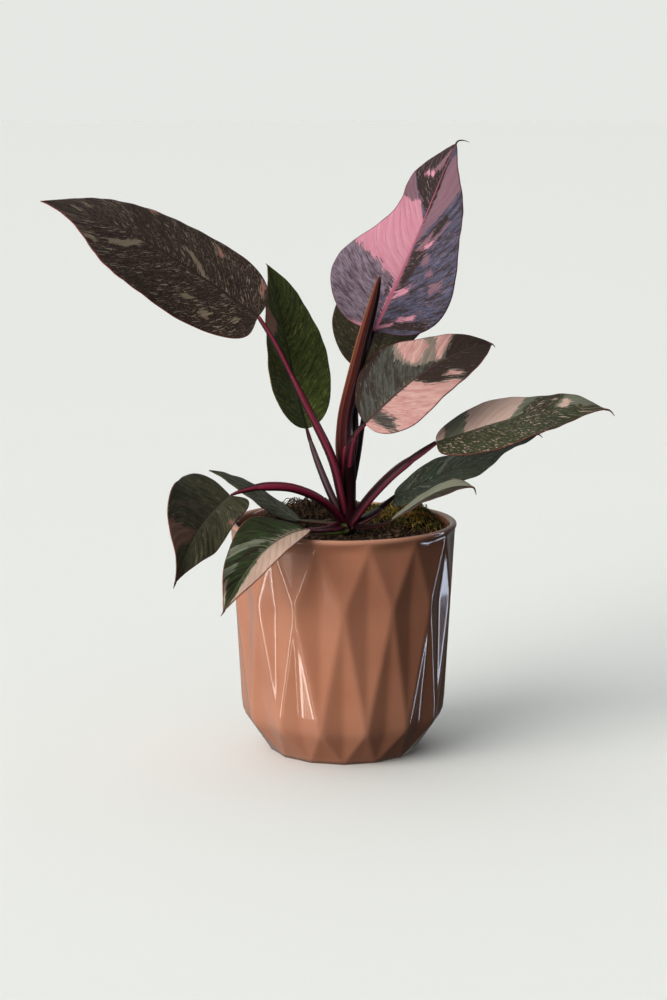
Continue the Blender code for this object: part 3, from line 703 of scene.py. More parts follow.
# the foot inside the stem: its share of the way out from the axis, its drop in mm and its size
INTO_STEM, INTO_STEM_DOWN, INTO_STEM_SIZE = 0.4, 4, 0.6
for stalk, rows in STALKS.items():
    words = stalk.replace("_", " ")
    x, y, z, wide, deep = rows[-1]
    inner = (STEM_AXIS[0] + INTO_STEM * (x - STEM_AXIS[0]), STEM_AXIS[1] + INTO_STEM * (y - STEM_AXIS[1]),
             z - INTO_STEM_DOWN, INTO_STEM_SIZE * wide, INTO_STEM_SIZE * deep)
    rows = (*rows, inner)
    length = float(np.linalg.norm(np.diff(np.array(rows)[:, :3], axis=0), axis=1).sum())
    foot, tip, flank = STALK_COLOURS[stalk]
    skin = stalk_skin("fleshy stalk " + words, foot, tip, flank, length)
    steps = 10 * (len(rows) - 1)
    if stalk in SHEATHS:
        rows, sheath = sheath_rows(rows, *SHEATHS[stalk])
        steps = 3 * (len(rows) - 1)
        wrap_foot, wrap_flank = SHEATH_COLOURS.get(stalk, (foot, flank))
        wrap_skin = stalk_skin("sheath " + words, wrap_foot, wrap_flank, wrap_flank, length)
        wrap = grooved_tube(sheath, 2 * (len(sheath) - 1), 24, 0.95, SIDE_UP, 0.35)
        finish_piece("sheath_" + stalk, wrap, [wrap_skin], "stalks", "stem_and_stalks")
    tube = grooved_tube(rows, steps, 22, 0.5, SIDE_UP)
    piece = finish_piece("stalk_" + stalk, tube, [skin], "stalks", "stem_and_stalks")
    print(piece.name, round(length), "mm long")

FLARE = ((-16.0, -13.0, 137.2, 1.2, 1.0), (-9.0, -12.6, 138.0, 2.2, 1.5), (-2.0, -11.4, 139.0, 3.5, 2.2),
         (2.2, -10.4, 139.6, 3.2, 2.0), (3.2, -10.0, 139.8, 1.4, 1.0))
flare = grooved_tube(FLARE, 24, 24, 0.6, (0, 0.4, 1))
flare_skin = stalk_skin("green sheath, front", "4E5A26", "241F16", "343E1E", 20.0)
finish_piece("sheath_front_flare", flare, [flare_skin], "stalks", "stem_and_stalks")
stem_tube = grooved_tube((*STEM, STEM_CROWN), 48, 28, 0.0, (-1, 1, 0))
# On the stem the groove colour lays a thin crimson strip down its left-front side, and the underside coat
# paints near-black shade on its right-back side, away from the daylight.
stem_skin = stalk_skin("fleshy stem, maroon", "1C070D", "260A14", "300C18", 60.0, groove_colour="962C48")
stem = finish_piece("stem", stem_tube, [stem_skin], "stalks", "stem_and_stalks")
print("stem triangles", triangles(stem))

# %% [markdown]
# The next leaf is still rolled into a spear. Rolling a sheet tightly would hide nearly all its faces inside.
# What shows is a slim cone whose outer wrap ends in one long edge that winds up it, so it is the same tube
# with a deep narrow groove. Its colour is painted light and shade: rust with a painted tan highlight on the
# lit side, and near-black painted shade on the far side and below.

# %% Rolled new leaf
# x, y, z and radius in mm: the solid's spear with its loosest wrap, which runs on down round the stem's top
SPEAR_WRAP = (
    (1.8, -2.6, 174.0, 4.6), (1.0, -1.8, 183.0, 5.3), (0.4, 0.0, 190.5, 5.2), (0.6, 3.6, 199.5, 4.8),
    (2.0, 6.2, 211.0, 4.6), (7.2, 9.6, 232.0, 4.6), (13.2, 11.5, 255.9, 4.1), (18.9, 12.6, 277.3, 3.0),
    (21.6, 13.0, 288.5, 1.6), (22.4, 13.0, 292.0, 0.5),
)
WRAP_STRETCH = (0.05, 3.0, 3.0)


def rolled_leaf_skin():
    """Young rolled leaf with painted light and shade: rust and a painted tan highlight on its lit side,
    painted near-black shade on the far side and below.
    """
    material, tree, shader = new_material("rolled leaf, rust and maroon")
    place = add(tree, "Attribute", attribute_name="place").outputs["Vector"]
    along, side, above = add(tree, "SeparateXYZ", {0: place}).outputs
    stretched = add(tree, "VectorMath", {0: place, 1: WRAP_STRETCH}, operation="MULTIPLY").outputs[0]
    fibres = add(tree, "TexNoise", {"Vector": stretched, **FIBRE_NOISE}).outputs["Fac"]
    wander = add(tree, "Math", {0: fibres, 1: 0.25, 2: -0.12}, operation="MULTIPLY_ADD").outputs[0]
    edge = add(tree, "Math", {0: side, 1: wander}, operation="ADD").outputs[0]
    # Painted light and shade: rust on the lit left half and near black on the other, a painted tan highlight
    # along the lit side, and painted shade below.
    colour = coat(tree, "1A070B", "542219", edge, -0.10, 0.04)
    colour = coat(tree, colour, "96603C", edge, 0.72, 0.96, 0.8)
    colour = coat(tree, colour, "2A0C0E", fibres, 0.5, 0.7, 0.5)
    colour = coat(tree, colour, "2C0E12", above, 0.0, -0.5)
    colour = coat(tree, colour, "4A1420", along, 70.0, 15.0, 0.55)
    finish_skin(tree, shader, colour, fibres, 0.3, 0.3, Roughness=0.38, Specular_IOR_Level=0.3)
    return material


spear_rows = [(x, y, z, radius, radius) for x, y, z, radius in SPEAR_WRAP]
spear_tube = grooved_tube(spear_rows, 70, 24, 0.35, (-1, 0, 0), 0.25)
spear = finish_piece("new_leaf", spear_tube, [rolled_leaf_skin()], "new_leaf", "new_leaf_spear")
print("new leaf triangles", triangles(spear))

# %% [markdown]
# The blades carry the look of the plant, and no two are alike. Each could be sculpted, but eleven sculpted
# sheets couldn't be measured or mended. So each is one blade with its own numbers, the same as the solid's:
# where it starts, its size, how it turns, rises, droops, rolls and folds, and how its margins swell and wave.

# %% Numbers of each blade
LEAVES = {
    "leaf_upper_left": dict(
        base=(-51.3, -4.9, 269.1), length=150.4, half_widths=(40.1, 43.6),
        heading=168, turn=16, rise=33, droop=(13, -36), roll=-41, twist=22,
        folds=(-2, -1), lobes=(0.08, 0.03), widest=0.37, taper=1.26,
        swells=((0.04, 0.16, -0.08), (-0.16, -0.16, 0.1)),
        waves=((-0.1, 0.6), (0.8, -0.4)),
    ),
    "leaf_green_back_left": dict(
        base=(-22.4, 18, 197.4), length=104.5, half_widths=(29.7, 27.9),
        heading=136, turn=23, rise=67, droop=(30, -25), roll=-6, twist=0,
        folds=(15, 16), lobes=(0.02, 0.02), widest=0.37, taper=1.07,
        swells=((0.02, -0.03, 0), (0, -0.06, 0.08)),
        waves=((-0.4, 0.5), (0.2, 0.5)),
    ),
    "leaf_top_pink": dict(
        base=(19.3, 17, 258.2), length=137.4, half_widths=(37.6, 44.8),
        heading=64, turn=-42, rise=38, droop=(57, -31), roll=13, twist=-6,
        folds=(13, 6), lobes=(0.05, 0.06), widest=0.27, taper=1,
        swells=((0.17, -0.34, 0.34), (-0.09, -0.16, -0.03)),
        waves=((2.1, -0.6), (-2.3, 1.4)),
    ),
    "leaf_dark_back": dict(
        base=(14.4, 37, 230.5), length=108.8, half_widths=(33.2, 31.3),
        heading=62, turn=27, rise=32, droop=(14, 1), roll=-2, twist=7,
        folds=(22, 21), lobes=(0.02, 0.11), widest=0.36, taper=1.2,
        swells=((0.08, 0, 0), (0.03, 0, 0)),
        waves=((0.8, 0.6), (2.1, 0.4)),
    ),
    "leaf_middle_right": dict(
        base=(13.4, -15, 205), length=95.2, half_widths=(30.6, 31.7),
        heading=-2, turn=28, rise=46, droop=(-9, -34), roll=41, twist=-17,
        folds=(6, 6), lobes=(0.02, 0.02), widest=0.27, taper=1,
        swells=((0.16, -0.16, 0.09), (0.02, -0.07, 0.12)),
        waves=((0.9, 0.4), (-1.3, 0.6)),
    ),
    "leaf_long_right": dict(
        base=(56.3, -21.8, 194.6), length=106.4, half_widths=(29.2, 31.2),
        heading=2, turn=-22, rise=17, droop=(16, -39), roll=24, twist=-8,
        folds=(-1, 0), lobes=(0.02, 0.06), widest=0.38, taper=1.24,
        swells=((0.03, -0.09, 0.05), (-0.02, 0.09, -0.05)),
        waves=((-0.4, -1.2), (0.8, 0.6)),
    ),
    "leaf_green_right": dict(
        base=(31.9, 4, 157.3), length=96.2, half_widths=(26.7, 28.4),
        heading=1, turn=1, rise=24, droop=(5, -9), roll=13, twist=-10,
        folds=(1, 2), lobes=(0.02, 0.1), widest=0.36, taper=1.21,
        swells=((0.01, 0, 0), (0.05, -0.01, -0.03)),
        waves=((-0.5, -1.8), (-0.8, -1.6)),
    ),
    "leaf_small_right": dict(
        base=(29.2, -30, 148.1), length=60, half_widths=(10.4, 15.6),
        heading=-19, turn=-13, rise=33, droop=(30, -71), roll=19, twist=18,
        folds=(-2, 18), lobes=(0.05, 0.02), widest=0.39, taper=1.24,
        swells=((-0.13, -0.08, 0.1), (0.04, 0.07, -0.11)),
        waves=((0, -0.3), (0, 0.5)),
    ),
    "leaf_drooping_left": dict(
        base=(-67.7, -38.1, 164.7), length=96.6, half_widths=(18.8, 30.4),
        heading=-110, turn=2, rise=-9, droop=(-7, -33), roll=-6, twist=-49,
        folds=(-2, 32), lobes=(0.09, 0.07), widest=0.28, taper=1.37,
        swells=((-0.16, -0.03, -0.06), (-0.08, 0.16, -0.08)),
        waves=((-1.7, -2), (-1, 2.2)),
    ),
    "leaf_narrow_left": dict(
        base=(-27.2, 0, 142.7), length=64.2, half_widths=(20, 17),
        heading=169, turn=25, rise=30, droop=(23, -36), roll=-2, twist=-8,
        folds=(0, -2), lobes=(0.02, 0.03), widest=0.37, taper=1.26,
        swells=((0.12, -0.01, -0.06), (-0.03, 0.04, 0)),
        waves=((-0.2, 0.2), (0, 0.3)),
    ),
    "leaf_front_left": dict(
        base=(-22.2, -56.8, 147.3), length=83.6, half_widths=(16.8, 19.1),
        heading=-136, turn=10, rise=2, droop=(-78, 26), roll=-27, twist=-13,
        folds=(36, 6), lobes=(0.02, 0.02), widest=0.36, taper=1.44,
        swells=((0.03, -0.14, -0.07), (0.07, -0.09, -0.03)),
        waves=((-1.6, 0.6), (-3.1, -3.4)),
    ),
}
print("longest blade", max(leaf["length"] for leaf in LEAVES.values()), "mm")

# %% [markdown]
# A point on a blade is named as the plant grows it: t is the place on the midrib where its side vein starts,
# and s how far out along that vein it lies, from -1 at the right margin to 1 at the left. These functions
# turn t and s into a place in space. On top of the solid's form lie a sunken midrib, soft cushions between
# the side veins and a finely rippled margin, which are too slight for the solid.

# %% Shape of a blade
LOBE_REACH = 0.08
VEIN_SWEEP = 0.08
SWELL_PLACES, SWELL_SPREAD = (0.3, 0.58, 0.85), 0.28
WAVES_ALONG = 2.2
VEIN_SPACING, VEIN_LEAN = 6.0, 0.16
CUSHION, RIB_DEPTH, RIB_SPREAD = 0.42, 0.55, 1.1
RIPPLE, RIPPLE_LENGTH = 0.22, 13


def midrib(leaf):
    """Points and directions along the midrib, with the slope and the compass angle changing evenly."""
    share = np.linspace(0, 1, 49)
    compass = np.radians(leaf["heading"] + leaf["turn"] * share)
    slope = np.radians(leaf["rise"] + leaf["droop"][0] * share + leaf["droop"][1] * share ** 2)
    ahead = np.stack([np.cos(slope) * np.cos(compass), np.cos(slope) * np.sin(compass), np.sin(slope)], -1)
    middle = 0.5 * (ahead[1:] + ahead[:-1])
    middle /= np.linalg.norm(middle, axis=1)[:, None]
    steps = middle * leaf["length"] / (len(share) - 1)
    points = np.vstack([[0, 0, 0], np.cumsum(steps, axis=0)]) + np.array(leaf["base"])
    return share, points, ahead


def half_width(t, leaf, left):
    """Half width of the blade where the side vein that starts at share t of the midrib meets the margin."""
    widest, taper = leaf["widest"], leaf["taper"]
    before = np.clip((widest - t) / widest, 0, 1)
    after = np.clip((t - widest) / (1 - widest), 0, 1)
    shape = np.where(t < widest, (1 - before ** 2.2 + 1e-12) ** 0.6,
                     np.maximum(1 - after, 1e-9) ** taper * (1 + taper * after))
    swell = 0
    for place, on_left, on_right in zip(SWELL_PLACES, *leaf["swells"]):
        near = np.clip(np.abs(t - place) / SWELL_SPREAD, 0, 1)
        swell = swell + np.where(left, on_left, on_right) * (0.5 + 0.5 * np.cos(np.pi * near))
    return np.where(left, *leaf["half_widths"]) * shape * (1 + swell)


def blade_points(leaf, t, s, relief=0.0):
    """Points of the blade for arrays of t and s, raised from its surface by relief."""
    share, points, ahead = midrib(leaf)
    left, reach = s > 0, np.abs(s)
    lobe = np.where(left, *leaf["lobes"]) * (t / LOBE_REACH) * np.exp(1 - t / LOBE_REACH)
    along = t + (VEIN_SWEEP * np.sin(np.pi * t) - lobe) * reach ** 1.4
    out = half_width(t, leaf, left) * reach
    held = np.clip(along, 0, 1)
    centre = np.stack([np.interp(held, share, points[:, i]) for i in range(3)], -1)
    tangent = np.stack([np.interp(held, share, ahead[:, i]) for i in range(3)], -1)
    tangent /= np.linalg.norm(tangent, axis=-1, keepdims=True)
    centre = centre + tangent * ((along - held) * leaf["length"])[..., None]
    level = np.stack([-tangent[..., 1], tangent[..., 0], 0 * tangent[..., 0]], -1)
    level /= np.linalg.norm(level, axis=-1, keepdims=True)
    upright = np.cross(tangent, level)
    lean = np.radians(leaf["roll"] + leaf["twist"] * held)[..., None]
    across = np.cos(lean) * level + np.sin(lean) * upright
    normal = np.cos(lean) * upright - np.sin(lean) * level
    fold = np.radians(np.where(left, *leaf["folds"]))
    (left_sine, left_cosine), (right_sine, right_cosine) = leaf["waves"]
    phase = 2 * np.pi * WAVES_ALONG * t
    wave = np.where(left, left_sine, right_sine) * np.sin(phase)
    wave = wave + np.where(left, left_cosine, right_cosine) * np.cos(phase)
    wave = wave * reach ** 2 * np.sqrt(np.sin(np.pi * np.clip(t, 0, 1)).clip(0))
    lift = np.sin(fold) * out + wave + relief
    return centre + across * (np.sign(s) * np.cos(fold) * out)[..., None] + normal * lift[..., None]


def relief_of(leaf, t, s):
    """Sunken midrib, cushions between side veins and a rippled margin, in mm, dying away to base and tip."""
    reach = np.abs(s)
    out = half_width(t, leaf, s > 0) * reach
    veins = (t - VEIN_LEAN * reach) * leaf["length"] / VEIN_SPACING
    cushion = CUSHION * np.abs(np.sin(np.pi * veins)) * np.clip(reach * 3, 0, 1) * (1 - reach ** 4)
    groove = -RIB_DEPTH * np.exp(-(out / RIB_SPREAD) ** 2) * (1 - t)
    fade = np.sin(np.pi * t).clip(0)
    phase = 2 * np.pi * leaf["length"] / RIPPLE_LENGTH * t + np.where(s > 0, 0.4, 2.1)
    return (cushion + groove) * fade ** 0.3 + RIPPLE * reach ** 5 * np.sin(phase) * fade


middle_width = half_width(np.array(0.5), LEAVES["leaf_top_pink"], True)
print("half width of the top leaf at its middle", round(float(middle_width), 1), "mm")

# %% [markdown]
# The pink, cream and grey areas of this plant are sectors: strips of the blade between two side veins that
# grew from cells without green. A painted image would follow one photograph, and noise alone would put them
# in the wrong places. So each sector is drawn as a few corners in t and s on the unrolled blade, and the
# blade stores how far each point lies inside it. The skin breaks that smooth distance into ragged streaks.

# %% Sectors of each blade
# The outlines listed as dark are painted shadow, not sectors: inside them the ground is laid plain in the
# leaf's dark colour.
SECTORS = {
    ("leaf_top_pink", "light"): [
        [(0.385, 1.05), (0.64, 1.05), (0.655, 0.6), (0.69, 0.36), (0.60, 0.0), (0.28, 0.0), (0.31, 0.15),
         (0.35, 0.4)],
        [(-0.1, 0.0), (0.33, 0.0), (0.33, 0.05), (0.0, 0.03)],
        [(-0.1, 0.5), (0.03, 0.5), (0.035, 1.05), (-0.1, 1.05)],
        [(0.195, -0.05), (0.235, -0.05), (0.27, -0.26), (0.235, -0.25)],
        [(0.0, -0.08), (0.02, -0.05), (0.07, -0.34), (0.045, -0.36)],
        [(0.08, -0.35), (0.10, -0.35), (0.13, -0.6), (0.11, -0.6)],
        [(0.45, -0.30), (0.475, -0.28), (0.50, -0.42), (0.47, -0.42)],
        [(0.80, 0.62), (0.825, 0.62), (0.84, 0.30), (0.82, 0.30)],
    ],
    ("leaf_top_pink", "middle"): [
        [(0.50, -0.03), (0.60, -0.35), (0.66, -0.65), (0.70, -0.85), (0.72, -1.05), (0.93, -1.05),
         (0.92, -0.5), (0.88, -0.20), (0.72, -0.14), (0.62, -0.05)],
        [(0.44, -0.12), (0.475, -0.12), (0.545, -0.32), (0.535, -0.40), (0.49, -0.34)],
        [(0.47, -0.42), (0.50, -0.40), (0.58, -0.70), (0.56, -0.72)],
        [(0.36, -0.34), (0.40, -0.32), (0.43, -0.42), (0.39, -0.46)],
        [(0.30, -0.46), (0.33, -0.44), (0.345, -0.56), (0.315, -0.58)],
        [(0.225, -0.60), (0.27, -0.58), (0.29, -0.74), (0.245, -0.78)],
        [(0.64, 1.05), (0.80, 1.05), (0.74, 0.7), (0.69, 0.36), (0.655, 0.6)],
        [(0.84, 0.42), (0.97, 0.36), (0.97, 0.12), (0.86, 0.18)],
    ],
    ("leaf_top_pink", "third"): [
        [(-0.1, 1.05), (0.40, 1.05), (0.36, 0.4), (0.31, 0.12), (0.0, 0.10)],
    ],
    ("leaf_top_pink", "dark"): [
        [(0.65, 0.02), (0.70, 0.36), (0.745, 0.7), (0.80, 1.05), (1.1, 1.05), (1.1, 0.0), (0.65, 0.0)],
        [(0.58, -0.02), (0.72, -0.14), (0.88, -0.20), (1.1, -0.2), (1.1, 0.0), (0.6, 0.0)],
        [(0.16, -0.03), (0.46, -0.03), (0.57, -0.36), (0.62, -0.66), (0.58, -0.66), (0.50, -0.42),
         (0.36, -0.24)],
        [(0.02, -0.04), (0.06, -0.04), (0.12, -0.9), (0.08, -1.05), (0.04, -0.6)],
    ],
    ("leaf_middle_right", "light"): [
        [(0.41, 1.05), (0.55, 1.05), (0.58, 0.7), (0.52, 0.45), (0.47, 0.34), (0.42, 0.6)],
        [(0.63, 1.05), (0.77, 1.05), (0.70, 0.5), (0.65, 0.08), (0.61, 0.15), (0.63, 0.5)],
        [(0.14, -0.03), (0.40, -0.03), (0.44, -0.4), (0.49, -0.65), (0.56, -0.88), (0.58, -1.05),
         (0.1, -1.05), (0.16, -0.6)],
        [(-0.1, -0.05), (0.04, -0.05), (0.06, -0.5), (0.1, -1.05), (-0.1, -1.05)],
        [(0.56, -0.55), (0.59, -0.52), (0.64, -0.78), (0.60, -0.80)],
    ],
    ("leaf_middle_right", "middle"): [
        [(0.40, 1.05), (0.65, 1.05), (0.64, 0.4), (0.62, 0.12), (0.55, 0.2), (0.46, 0.26), (0.38, 0.6)],
        [(0.30, -0.04), (0.42, -0.04), (0.44, -0.22), (0.36, -0.3), (0.29, -0.2)],
    ],
    ("leaf_middle_right", "third"): [
        [(0.04, -0.06), (0.13, -0.06), (0.17, -0.6), (0.13, -0.92), (0.07, -0.5)],
    ],
    ("leaf_middle_right", "dark"): [
        [(0.77, 1.05), (0.71, 0.5), (0.66, 0.06), (0.46, 0.03), (0.40, -0.04), (0.45, -0.4), (0.50, -0.65),
         (0.58, -0.9), (0.60, -1.05), (1.1, -1.05), (1.1, 1.05)],
        [(-0.1, 0.75), (0.12, 0.72), (0.30, 0.85), (0.36, 1.05), (-0.1, 1.05)],
    ],
    ("leaf_long_right", "light"): [
        [(0.185, 1.05), (0.45, 1.05), (0.46, 0.6), (0.44, 0.02), (0.165, 0.02), (0.18, 0.4)],
        [(-0.1, 1.05), (0.07, 1.05), (0.07, 0.5), (0.04, 0.05), (-0.1, 0.05)],
        [(0.70, 0.75), (0.75, 0.6), (0.76, 0.1), (0.71, 0.2)],
    ],
    ("leaf_long_right", "middle"): [
        [(0.07, 1.05), (0.19, 1.05), (0.17, 0.02), (0.05, 0.02), (0.08, 0.5)],
        [(0.44, 1.05), (0.53, 1.05), (0.50, 0.6), (0.50, 0.1), (0.44, 0.02)],
        [(0.67, 1.05), (0.92, 1.0), (0.86, 0.4), (0.77, 0.3), (0.69, 0.2)],
    ],
    ("leaf_long_right", "dark"): [
        [(0.1, 0.9), (0.14, 0.9), (0.12, 0.3), (0.08, 0.2)],
        [(0.54, 1.05), (0.66, 1.05), (0.66, 0.03), (0.52, 0.03)],
    ],
    ("leaf_front_left", "light"): [
        [(-0.1, -0.1), (0.05, -0.1), (0.4, 0.0), (0.52, 0.12), (0.65, 0.30), (0.80, 0.5), (0.9, 0.75),
         (0.9, 1.05), (-0.1, 1.05)],
        [(0.75, -0.78), (0.95, -0.7), (0.95, -1.05), (0.78, -1.05)],
    ],
    ("leaf_front_left", "middle"): [
        [(0.30, -0.12), (0.38, -0.2), (0.46, -0.45), (0.56, -0.95), (0.48, -0.95), (0.42, -0.6),
         (0.36, -0.35)],
        [(0.60, -0.5), (0.66, -0.5), (0.80, -1.05), (0.68, -1.05)],
    ],
    ("leaf_front_left", "dark"): [
        [(0.40, 0.0), (0.52, -0.3), (0.62, -0.7), (0.56, -0.6), (0.44, -0.25)],
    ],
    ("leaf_green_back_left", "light"): [
        [(0.53, 1.05), (0.72, 1.05), (0.68, 0.75), (0.64, 0.45), (0.60, 0.42), (0.52, 0.7)],
    ],
    ("leaf_upper_left", "light"): [
        [(0.05, -0.7), (0.068, -0.7), (0.09, -0.95), (0.07, -0.95)],
        [(0.24, -0.70), (0.255, -0.70), (0.27, -0.82), (0.25, -0.82)],
        [(0.50, -0.93), (0.53, -0.92), (0.54, -1.0), (0.51, -1.0)],
    ],
    ("leaf_upper_left", "middle"): [
        [(0.545, 0.06), (0.575, 0.06), (0.66, 0.5), (0.64, 0.58), (0.58, 0.36)],
        [(0.25, -0.02), (0.285, -0.02), (0.36, -0.28), (0.395, -0.44), (0.34, -0.34)],
        [(0.82, -0.05), (0.84, -0.02), (0.88, -0.4), (0.86, -0.4)],
        [(0.78, -0.40), (0.80, -0.40), (0.83, -0.75), (0.81, -0.75)],
        [(0.16, 0.55), (0.19, 0.55), (0.20, 0.72), (0.17, 0.72)],
        [(0.07, 0.42), (0.09, 0.42), (0.10, 0.6), (0.08, 0.6)],
        [(0.24, 0.45), (0.28, 0.45), (0.29, 0.56), (0.26, 0.56)],
        [(0.66, 0.75), (0.70, 0.75), (0.74, 0.97), (0.71, 0.97)],
    ],
    ("leaf_upper_left", "dark"): [
        [(0.05, -0.08), (0.14, -0.05), (0.21, -0.4), (0.17, -0.55), (0.09, -0.4)],
        [(0.50, 0.10), (0.66, 0.10), (0.72, 0.7), (0.56, 0.55)],
    ],
    ("leaf_drooping_left", "light"): [
        [(0.29, 0.82), (0.31, 0.82), (0.32, 0.9), (0.30, 0.9)],
    ],
    ("leaf_drooping_left", "middle"): [
        [(0.57, -0.03), (0.68, -0.05), (0.80, -0.8), (0.78, -1.05), (0.62, -1.05), (0.62, -0.5)],
    ],
    ("leaf_drooping_left", "third"): [
        [(0.37, -0.28), (0.40, -0.26), (0.53, -0.75), (0.50, -0.78)],
    ],
    ("leaf_small_right", "middle"): [
        [(-0.1, 0.0), (1.1, 0.0), (1.1, 1.05), (-0.1, 1.05)],
    ],
    ("leaf_green_right", "middle"): [
        [(0.05, 0.03), (0.09, 0.03), (0.16, 0.5), (0.13, 0.5)],
        [(0.16, -0.05), (0.18, -0.05), (0.24, -0.5), (0.21, -0.5)],
        [(0.30, 0.1), (0.33, 0.1), (0.40, 0.9), (0.36, 0.9)],
    ],
}
FIELDS = ("light", "middle", "third", "dark")


def inside_distance(corner_lists, x, y, scale):
    """How far each point lies inside the nearest of these outlines, in mm. Outside it is below zero."""
    best = np.full(x.shape, -30.0)
    for corners in corner_lists:
        ring = np.array(corners) * scale
        nearest = np.full(x.shape, 1e9)
        inside = np.zeros(x.shape, bool)
        for (ax, ay), (bx, by) in zip(ring, np.roll(ring, -1, axis=0)):
            dx, dy = bx - ax, by - ay
            share = np.clip(((x - ax) * dx + (y - ay) * dy) / (dx * dx + dy * dy), 0, 1)
            nearest = np.minimum(nearest, np.hypot(x - ax - share * dx, y - ay - share * dy))
            crosses = (ay > y) != (by > y)
            inside ^= crosses & (x < ax + (y - ay) * dx / (dy if abs(dy) > 1e-9 else 1e-9))
        best = np.maximum(best, np.where(inside, nearest, -nearest))
    return best


print("sectors", sum(map(len, SECTORS.values())))

# %% [markdown]
# The colours of each blade are matched leaf by leaf, because age and light change them: the old leaf
# at the upper left is nearly black, the youngest is pink and violet. What they share is given once.

# %% Colours of each blade
# dark is the colour of the darkest streaks, and also of the painted shadow laid inside the dark outlines.
COMMON_LOOK = dict(
    ground="1A2416", ground_lit="2A3722", fleck="848770", fleck_large="9A9584", flecks=0.64, vein="4A5440",
    light="F0A0A6", light_deep="E07E8E", middle="8C9486", middle_deep="6C7868", third="5B5566",
    third_deep="443F52", rib="34362A", margin="6E3038", under="3A2A26", dark="12160F", blush="D88890",
    blush_from=0.80, margin_depth=0.8, streaks=0.34, roughness=0.36,
)
LOOKS = {
    "leaf_upper_left": dict(
        streaks=0.14, ground="0C0A05", ground_lit="221C10", fleck="BCAE9E", fleck_large="C4B4A2",
        flecks=0.59, middle="AA9C86", middle_deep="847A66", light="DA9490", light_deep="B87470",
        rib="1C1414", vein="2A241E", margin="7A2E30", dark="0C0A08", blush="B06868", blush_from=0.74,
    ),
    "leaf_green_back_left": dict(
        ground="365C1E", ground_lit="608436", fleck="CCD66C", fleck_large="D8D47C", flecks=0.595,
        light="F2BCA6", light_deep="E6A48C", rib="2E4418", vein="3C5426", margin="5A3A24", dark="0E1A08",
    ),
    # On this leaf the bluish ground_lit patches and the pale fleck colour are painted sheen, and the third
    # sector's pale lilac is painted reflection, broken by its dark purple-grey third_deep.
    "leaf_top_pink": dict(
        ground="181E2C", ground_lit="56628A", fleck="A8A2B8", fleck_large="BC9CAE", flecks=0.61,
        light="FFB6CE", light_deep="F494B4", middle="A07A8C", middle_deep="86627A", third="B4A4BE",
        third_deep="4E3E4C", rib="DE6C92", vein="7A6078", margin="5E2A40", dark="131418", blush="E08098",
        blush_from=0.70,
    ),
    "leaf_dark_back": dict(
        ground="16220F", ground_lit="2C3C1C", fleck="8E9270", fleck_large="A8A080", flecks=0.61,
    ),
    "leaf_middle_right": dict(
        streaks=0.3, ground="161E18", ground_lit="50605A", fleck="74827A", fleck_large="8E9A90",
        flecks=0.65, light="FACCC4", light_deep="D08084", middle="A89A90", middle_deep="7E7A70",
        third="56585A", third_deep="3E403C", rib="4A3A38", vein="7A6A62", margin="7A3440", dark="0C0E08",
        blush="C8807E", blush_from=0.78,
    ),
    "leaf_long_right": dict(
        streaks=0.12, ground="0E2E0C", ground_lit="1E461A", fleck="A0AE90", fleck_large="DCC4B4",
        flecks=0.62, light="FFE2D6", light_deep="F8CCBC", middle="86927E", middle_deep="66745E",
        rib="46503A", vein="5A6A4E", margin="7E3036", dark="122A12", blush="F2D2C2", blush_from=0.60,
        margin_depth=0.6,
    ),
    "leaf_green_right": dict(
        ground="0A3218", ground_lit="1A5634", fleck="A4B4A4", fleck_large="D0D8C8", flecks=0.62,
        middle="8A988A", middle_deep="68786A", rib="2E4630", margin="4A3430", margin_depth=0.5,
    ),
    "leaf_small_right": dict(
        ground="16221A", ground_lit="2A3A2C", fleck="6E7A68", middle="9AA28E", middle_deep="7E8876",
        rib="8A8E78", margin="6A4440", flecks=0.66, margin_depth=0.6,
    ),
    "leaf_drooping_left": dict(
        ground="303C26", ground_lit="62704A", fleck="A8A47E", fleck_large="BCB490", flecks=0.595,
        middle="B08A76", middle_deep="886452", rib="7A7660", margin="6E3436", vein="4A4A36", third="8A826E",
        third_deep="6E6856", dark="100F0A",
    ),
    "leaf_narrow_left": dict(
        ground="384A34", ground_lit="78886E", fleck="76806E", fleck_large="929A86", flecks=0.67,
        rib="9A9E88", margin="4A3A2E",
    ),
    "leaf_front_left": dict(
        ground="163618", ground_lit="36602E", fleck="5E7058", fleck_large="7C8A70", flecks=0.68,
        light="F8DACA", light_deep="E2B8A2", middle="A8B49C", middle_deep="76866C", rib="8A8E70",
        margin="8A4A40", roughness=0.32, dark="0E2012",
    ),
}
print("blades with colours of their own", len(LOOKS))
